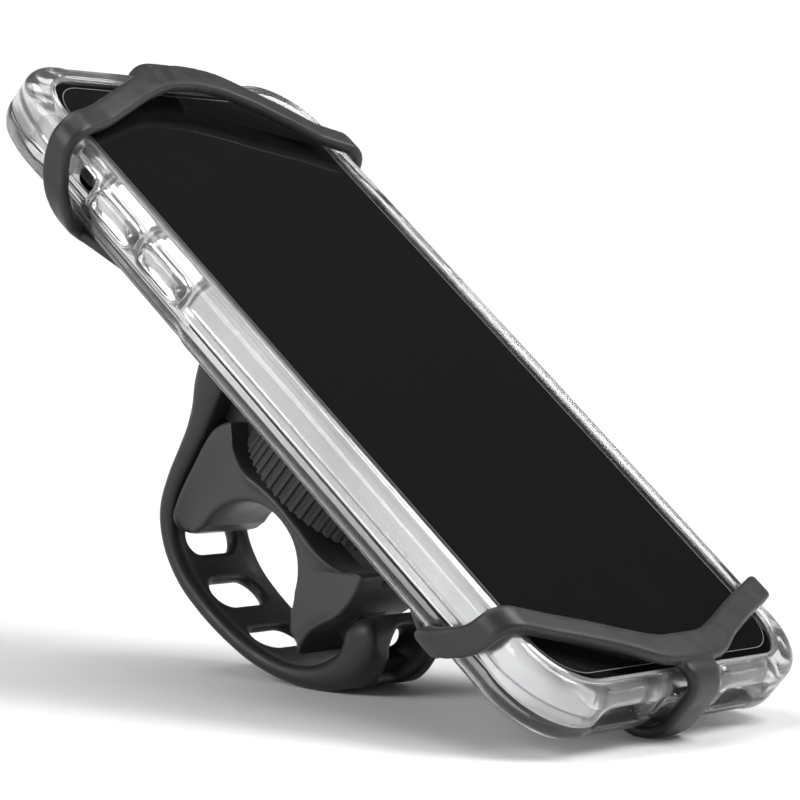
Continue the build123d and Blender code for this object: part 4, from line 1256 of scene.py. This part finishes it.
# %% Phone glass material
def phone_glass(name, half, radius, line_in, line_wide):
    """Black glass with a printed line: length(max(|p| - corner, 0)) is the distance from the
    corner centres, and the line is where it equals the radius less line_in. All in metres."""
    material, nodes, links = blank_material(name)

    place = nodes.new("ShaderNodeTexCoord")
    place.label, place.location = "place on the object", (-2000, 0)
    flat = nodes.new("ShaderNodeMapping")
    flat.label, flat.location = "back on the bench", (-1800, 0)
    flat.inputs["Rotation"].default_value = (-lean, 0, 0)
    flat.inputs["Location"].default_value = (-BENCH_ZERO * MM).tolist()
    links.new(place.outputs["Object"], flat.inputs["Vector"])

    line_frame = nodes.new("NodeFrame")
    line_frame.label = "printed line round the screen"
    mirrored = nodes.new("ShaderNodeVectorMath")
    mirrored.operation = "ABSOLUTE"
    mirrored.label, mirrored.location, mirrored.parent = "one quarter", (-1600, 300), line_frame
    past = nodes.new("ShaderNodeVectorMath")
    past.operation = "SUBTRACT"
    past.label, past.location, past.parent = "from the corner centre", (-1400, 300), line_frame
    past.inputs[1].default_value = (half[0] - radius, half[1] - radius, 1.0)
    only_out = nodes.new("ShaderNodeVectorMath")
    only_out.operation = "MAXIMUM"
    only_out.label, only_out.location, only_out.parent = "outward only", (-1200, 300), line_frame
    only_out.inputs[1].default_value = (0, 0, 0)
    reach = nodes.new("ShaderNodeVectorMath")
    reach.operation = "LENGTH"
    reach.label, reach.location, reach.parent = "distance", (-1000, 300), line_frame
    on_line = nodes.new("ShaderNodeMath")
    on_line.operation = "COMPARE"
    on_line.label, on_line.location, on_line.parent = "on the line", (-800, 300), line_frame
    on_line.inputs[1].default_value = radius - line_in
    on_line.inputs[2].default_value = line_wide / 2
    print_tone = nodes.new("ShaderNodeMix")
    print_tone.data_type = "RGBA"
    print_tone.label, print_tone.location, print_tone.parent = "line over black", (-600, 300), line_frame
    print_tone.inputs["B"].default_value = (0.28, 0.28, 0.29, 1)
    links.new(flat.outputs["Vector"], mirrored.inputs[0])
    links.new(mirrored.outputs["Vector"], past.inputs[0])
    links.new(past.outputs["Vector"], only_out.inputs[0])
    links.new(only_out.outputs["Vector"], reach.inputs[0])
    links.new(reach.outputs["Value"], on_line.inputs[0])
    links.new(on_line.outputs["Value"], print_tone.inputs["Factor"])

    screen_frame = nodes.new("NodeFrame")
    screen_frame.label = "screen a shade lighter than its border"
    inside = nodes.new("ShaderNodeMath")
    inside.operation = "LESS_THAN"
    inside.label, inside.location, inside.parent = "inside the line", (-800, 60), screen_frame
    inside.inputs[1].default_value = radius - line_in
    ground = nodes.new("ShaderNodeMix")
    ground.data_type = "RGBA"
    ground.label, ground.location, ground.parent = "border or screen", (-700, -100), screen_frame
    ground.inputs["A"].default_value = (0.0015, 0.0015, 0.0016, 1)
    ground.inputs["B"].default_value = (0.0065, 0.0065, 0.0066, 1)
    links.new(reach.outputs["Value"], inside.inputs[0])
    links.new(inside.outputs["Value"], ground.inputs["Factor"])
    links.new(ground.outputs["Result"], print_tone.inputs["A"])

    touch_frame = nodes.new("NodeFrame")
    touch_frame.label = "finger marks"
    marks = nodes.new("ShaderNodeTexNoise")
    marks.label, marks.location, marks.parent = "marks", (-900, -300), touch_frame
    marks.inputs["Scale"].default_value = 55.0
    marks.inputs["Detail"].default_value = 6.0
    marks.inputs["Distortion"].default_value = 1.5
    polish = nodes.new("ShaderNodeMapRange")
    polish.label, polish.location, polish.parent = "roughness", (-650, -300), touch_frame
    polish.inputs["From Min"].default_value = 0.45
    polish.inputs["From Max"].default_value = 0.8
    polish.inputs["To Min"].default_value = 0.04
    polish.inputs["To Max"].default_value = 0.14
    links.new(flat.outputs["Vector"], marks.inputs["Vector"])
    links.new(marks.outputs["Fac"], polish.inputs["Value"])

    shader = nodes.new("ShaderNodeBsdfPrincipled")
    shader.label, shader.location = "glass over black", (-300, 0)
    shader.inputs["IOR"].default_value = 1.5
    links.new(print_tone.outputs["Result"], shader.inputs["Base Color"])
    links.new(polish.outputs["Result"], shader.inputs["Roughness"])
    result = nodes.new("ShaderNodeOutputMaterial")
    result.label, result.location = "result", (40, 0)
    links.new(shader.outputs["BSDF"], result.inputs["Surface"])
    return material


glass_high = bench_box("phone_front_glass")[1]
glass_half = glass_high[:2] * MM
GLASS_R, LINE_IN, LINE_WIDE = 0.0097, 0.0018, 0.00014
black_glass = phone_glass("phone_glass", glass_half.tolist(), GLASS_R, LINE_IN, LINE_WIDE)
print("glass half size in metres", glass_half.round(4))

# %% [markdown]
# ## The display
# The display, cell, board and lenses are mostly hidden, yet each needs its own surface so that the
# phone can be taken apart. A display is a grid of fine cells. An image could show them, but a brick
# pattern with thin mortar gives the same rows at any size.

# %% Display material
def display_panel(name):
    """A dark sheet of fine cells with a faint tint between rows."""
    material, nodes, links = blank_material(name)
    place = nodes.new("ShaderNodeTexCoord")
    place.label, place.location = "place on the object", (-1100, 0)
    flat = nodes.new("ShaderNodeMapping")
    flat.label, flat.location = "back on the bench", (-900, 0)
    flat.inputs["Rotation"].default_value = (-lean, 0, 0)
    cell_frame = nodes.new("NodeFrame")
    cell_frame.label = "rows of cells"
    cells = nodes.new("ShaderNodeTexBrick")
    cells.label, cells.location, cells.parent = "cells", (-650, 100), cell_frame
    cells.offset = 0.0
    cells.inputs["Scale"].default_value = 1500.0
    cells.inputs["Mortar Size"].default_value = 0.04
    cells.inputs["Color1"].default_value = (0.010, 0.010, 0.012, 1)
    cells.inputs["Color2"].default_value = (0.014, 0.013, 0.015, 1)
    cells.inputs["Mortar"].default_value = (0.004, 0.004, 0.004, 1)
    haze_frame = nodes.new("NodeFrame")
    haze_frame.label = "haze of the film"
    haze = nodes.new("ShaderNodeTexNoise")
    haze.label, haze.location, haze.parent = "haze", (-650, -300), haze_frame
    haze.inputs["Scale"].default_value = 80.0
    gloss = nodes.new("ShaderNodeMapRange")
    gloss.label, gloss.location, gloss.parent = "roughness", (-400, -300), haze_frame
    gloss.inputs["To Min"].default_value = 0.1
    gloss.inputs["To Max"].default_value = 0.25
    shader = nodes.new("ShaderNodeBsdfPrincipled")
    shader.label, shader.location = "panel", (-150, 0)
    result = nodes.new("ShaderNodeOutputMaterial")
    result.label, result.location = "result", (180, 0)
    links.new(place.outputs["Object"], flat.inputs["Vector"])
    links.new(flat.outputs["Vector"], cells.inputs["Vector"])
    links.new(flat.outputs["Vector"], haze.inputs["Vector"])
    links.new(haze.outputs["Fac"], gloss.inputs["Value"])
    links.new(cells.outputs["Color"], shader.inputs["Base Color"])
    links.new(gloss.outputs["Result"], shader.inputs["Roughness"])
    links.new(shader.outputs["BSDF"], result.inputs["Surface"])
    return material


display = display_panel("display_panel")
print("display:", display.name)

# %% [markdown]
# ## The lenses
# A camera lens is coated glass over a dark stack of rings. The coating shows as a blue or violet
# cast, which drifts as its thickness does, so noise picks between the two.

# %% Lens material
def lens_glass(name):
    """Coated glass: a dark blue to violet cast that drifts, under a clear polished coat."""
    material, nodes, links = blank_material(name)
    place = nodes.new("ShaderNodeTexCoord")
    place.label, place.location = "place on the object", (-1100, 0)
    coat_frame = nodes.new("NodeFrame")
    coat_frame.label = "coating's cast"
    film = nodes.new("ShaderNodeTexNoise")
    film.label, film.location, film.parent = "film", (-850, 100), coat_frame
    film.inputs["Scale"].default_value = 160.0
    film.inputs["Detail"].default_value = 1.0
    cast = nodes.new("ShaderNodeMix")
    cast.data_type = "RGBA"
    cast.label, cast.location, cast.parent = "blue to violet", (-600, 100), coat_frame
    cast.inputs["A"].default_value = (0.004, 0.006, 0.014, 1)
    cast.inputs["B"].default_value = (0.016, 0.006, 0.02, 1)
    dust_frame = nodes.new("NodeFrame")
    dust_frame.label = "dust"
    dust = nodes.new("ShaderNodeTexVoronoi")
    dust.label, dust.location, dust.parent = "specks", (-850, -250), dust_frame
    dust.inputs["Scale"].default_value = 900.0
    gloss = nodes.new("ShaderNodeMapRange")
    gloss.label, gloss.location, gloss.parent = "roughness", (-600, -250), dust_frame
    gloss.inputs["To Min"].default_value = 0.09
    gloss.inputs["To Max"].default_value = 0.03
    shader = nodes.new("ShaderNodeBsdfPrincipled")
    shader.label, shader.location = "lens", (-300, 0)
    shader.inputs["Coat Weight"].default_value = 1.0
    shader.inputs["Coat Roughness"].default_value = 0.03
    result = nodes.new("ShaderNodeOutputMaterial")
    result.label, result.location = "result", (40, 0)
    links.new(place.outputs["Object"], film.inputs["Vector"])
    links.new(place.outputs["Object"], dust.inputs["Vector"])
    links.new(film.outputs["Fac"], cast.inputs["Factor"])
    links.new(dust.outputs["Distance"], gloss.inputs["Value"])
    links.new(cast.outputs["Result"], shader.inputs["Base Color"])
    links.new(gloss.outputs["Result"], shader.inputs["Roughness"])
    links.new(shader.outputs["BSDF"], result.inputs["Surface"])
    return material


lens = lens_glass("lens_glass")
print("lens:", lens.name)

# %% [markdown]
# ## The battery's pouch
# A phone's cell is sealed in black laminated foil, which crinkles where it was pressed flat. The
# edges between Voronoi cells make sharper crinkles than noise does.

# %% Pouch material
def foil_pouch(name):
    """Black laminated foil: crinkles from a distorted Voronoi, and a satin print."""
    material, nodes, links = blank_material(name)
    place = nodes.new("ShaderNodeTexCoord")
    place.label, place.location = "place on the object", (-1100, 0)
    crinkle_frame = nodes.new("NodeFrame")
    crinkle_frame.label = "crinkles"
    crinkles = nodes.new("ShaderNodeTexVoronoi")
    crinkles.label, crinkles.location, crinkles.parent = "crinkles", (-850, -150), crinkle_frame
    crinkles.feature = "DISTANCE_TO_EDGE"
    crinkles.inputs["Scale"].default_value = 180.0
    folds = nodes.new("ShaderNodeBump")
    folds.label, folds.location, folds.parent = "folds", (-600, -150), crinkle_frame
    folds.inputs["Strength"].default_value = 0.4
    folds.inputs["Distance"].default_value = 0.0002
    tone_frame = nodes.new("NodeFrame")
    tone_frame.label = "satin print"
    clouds = nodes.new("ShaderNodeTexNoise")
    clouds.label, clouds.location, clouds.parent = "clouds", (-850, 200), tone_frame
    clouds.inputs["Scale"].default_value = 300.0
    tone = nodes.new("ShaderNodeMix")
    tone.data_type = "RGBA"
    tone.label, tone.location, tone.parent = "black to grey", (-600, 200), tone_frame
    tone.inputs["A"].default_value = (0.02, 0.02, 0.022, 1)
    tone.inputs["B"].default_value = (0.07, 0.07, 0.07, 1)
    shader = nodes.new("ShaderNodeBsdfPrincipled")
    shader.label, shader.location = "pouch", (-300, 0)
    shader.inputs["Roughness"].default_value = 0.38
    shader.inputs["Coat Weight"].default_value = 0.3
    result = nodes.new("ShaderNodeOutputMaterial")
    result.label, result.location = "result", (40, 0)
    links.new(place.outputs["Object"], crinkles.inputs["Vector"])
    links.new(place.outputs["Object"], clouds.inputs["Vector"])
    links.new(crinkles.outputs["Distance"], folds.inputs["Height"])
    links.new(clouds.outputs["Fac"], tone.inputs["Factor"])
    links.new(tone.outputs["Result"], shader.inputs["Base Color"])
    links.new(folds.outputs["Normal"], shader.inputs["Normal"])
    links.new(shader.outputs["BSDF"], result.inputs["Surface"])
    return material


pouch = foil_pouch("battery_wrap")
print("pouch:", pouch.name)

# %% [markdown]
# ## The board
# A circuit board is green solder mask over copper pads and tracks. Rows of bricks stand for the
# pads, and bent waves under the mask for the tracks.

# %% Board material
def solder_mask(name):
    """Green mask over copper: a brick pattern of pads, with tracks from a bent wave."""
    material, nodes, links = blank_material(name)
    place = nodes.new("ShaderNodeTexCoord")
    place.label, place.location = "place on the object", (-1300, 0)
    flat = nodes.new("ShaderNodeMapping")
    flat.label, flat.location = "back on the bench", (-1100, 0)
    flat.inputs["Rotation"].default_value = (-lean, 0, 0)
    pad_frame = nodes.new("NodeFrame")
    pad_frame.label = "pads"
    pads = nodes.new("ShaderNodeTexBrick")
    pads.label, pads.location, pads.parent = "pads", (-850, 200), pad_frame
    pads.inputs["Scale"].default_value = 260.0
    pads.inputs["Mortar Size"].default_value = 0.05
    pads.inputs["Color1"].default_value = (0.012, 0.07, 0.035, 1)
    pads.inputs["Color2"].default_value = (0.02, 0.1, 0.05, 1)
    pads.inputs["Mortar"].default_value = (0.12, 0.14, 0.05, 1)
    track_frame = nodes.new("NodeFrame")
    track_frame.label = "tracks under the mask"
    tracks = nodes.new("ShaderNodeTexWave")
    tracks.label, tracks.location, tracks.parent = "tracks", (-850, -200), track_frame
    tracks.inputs["Scale"].default_value = 420.0
    tracks.inputs["Distortion"].default_value = 6.0
    raised = nodes.new("ShaderNodeBump")
    raised.label, raised.location, raised.parent = "raised", (-600, -200), track_frame
    raised.inputs["Strength"].default_value = 0.3
    raised.inputs["Distance"].default_value = 0.00005
    shader = nodes.new("ShaderNodeBsdfPrincipled")
    shader.label, shader.location = "mask", (-300, 0)
    shader.inputs["Roughness"].default_value = 0.3
    result = nodes.new("ShaderNodeOutputMaterial")
    result.label, result.location = "result", (40, 0)
    links.new(place.outputs["Object"], flat.inputs["Vector"])
    links.new(flat.outputs["Vector"], pads.inputs["Vector"])
    links.new(flat.outputs["Vector"], tracks.inputs["Vector"])
    links.new(tracks.outputs["Fac"], raised.inputs["Height"])
    links.new(pads.outputs["Color"], shader.inputs["Base Color"])
    links.new(raised.outputs["Normal"], shader.inputs["Normal"])
    links.new(shader.outputs["BSDF"], result.inputs["Surface"])
    return material


board = solder_mask("circuit_board")
print("board:", board.name)

# %% [markdown]
# ## Paper
# The floor is pale paper that fades into the white surroundings a short way out, so that there
# is a soft shadow under the object and no horizon behind it.

# %% Floor material
def fading_paper(name, near, far):
    """Pale paper whose cover falls from 1 to 0 between two distances from the origin, in metres."""
    material, nodes, links = blank_material(name)
    place = nodes.new("ShaderNodeTexCoord")
    place.label, place.location = "place on the floor", (-900, 0)
    fade_frame = nodes.new("NodeFrame")
    fade_frame.label = "fade to nothing"
    reach = nodes.new("ShaderNodeVectorMath")
    reach.operation = "LENGTH"
    reach.label, reach.location, reach.parent = "distance out", (-650, 150), fade_frame
    fade = nodes.new("ShaderNodeMapRange")
    fade.interpolation_type = "SMOOTHSTEP"
    fade.label, fade.location, fade.parent = "fade", (-400, 150), fade_frame
    fade.inputs["From Min"].default_value = near
    fade.inputs["From Max"].default_value = far
    fibre_frame = nodes.new("NodeFrame")
    fibre_frame.label = "paper"
    fibres = nodes.new("ShaderNodeTexNoise")
    fibres.label, fibres.location, fibres.parent = "fibres", (-650, -150), fibre_frame
    fibres.inputs["Scale"].default_value = 900.0
    fibres.inputs["Detail"].default_value = 3.0
    tone = nodes.new("ShaderNodeMix")
    tone.data_type = "RGBA"
    tone.label, tone.location, tone.parent = "paper tone", (-400, -150), fibre_frame
    tone.inputs["A"].default_value = (0.9, 0.9, 0.9, 1)
    tone.inputs["B"].default_value = (0.94, 0.94, 0.94, 1)
    paper = nodes.new("ShaderNodeBsdfPrincipled")
    paper.label, paper.location = "paper", (-150, -150)
    paper.inputs["Roughness"].default_value = 0.6
    nothing = nodes.new("ShaderNodeBsdfTransparent")
    nothing.label, nothing.location = "nothing", (-150, -500)
    both = nodes.new("ShaderNodeMixShader")
    both.label, both.location = "paper or nothing", (150, 0)
    result = nodes.new("ShaderNodeOutputMaterial")
    result.label, result.location = "result", (350, 0)
    links.new(place.outputs["Object"], reach.inputs[0])
    links.new(reach.outputs["Value"], fade.inputs["Value"])
    links.new(place.outputs["Object"], fibres.inputs["Vector"])
    links.new(fibres.outputs["Fac"], tone.inputs["Factor"])
    links.new(tone.outputs["Result"], paper.inputs["Base Color"])
    links.new(fade.outputs["Result"], both.inputs["Fac"])
    links.new(paper.outputs["BSDF"], both.inputs[1])
    links.new(nothing.outputs["BSDF"], both.inputs[2])
    links.new(both.outputs["Shader"], result.inputs["Surface"])
    return material


floor_paper = fading_paper("floor_paper", 0.16, 0.42)
print("floor:", floor_paper.name)

# %% [markdown]
# ## Handing out the materials
# The record says which finish every CAD node has, so a CAD node gets its material by name. The soft
# pieces made here replace nodes, and are dressed one by one.

# %% Hand out the materials
SLOT_OF = {row["node"]: row["material_slot"] for row in frame["record"]["subparts"]}
LOOK = {
    "silicone": silicone, "saddle_rubber": saddle_rubber, "nylon": black_nylon,
    "washer_nylon": cream_nylon, "steel": steel, "brass": brass, "clear_case": clear_case,
    "phone_metal": silver, "phone_glass": black_glass, "display_panel": display,
    "lens_glass": lens, "battery_wrap": pouch, "circuit_board": board}


def dress(piece, material):
    """Give a piece one material."""
    piece.data.materials.clear()
    piece.data.materials.append(material)


for node, piece in frame["nodes"].items():
    dress(piece, LOOK[SLOT_OF[node]])
for piece in (strap, cradle, *yokes):
    dress(piece, silicone)
for piece in (case, *covers):
    dress(piece, clear_case)
dress(saddle, saddle_rubber)
dress(floor, floor_paper)
print("dressed", len(frame["nodes"]), "CAD nodes")
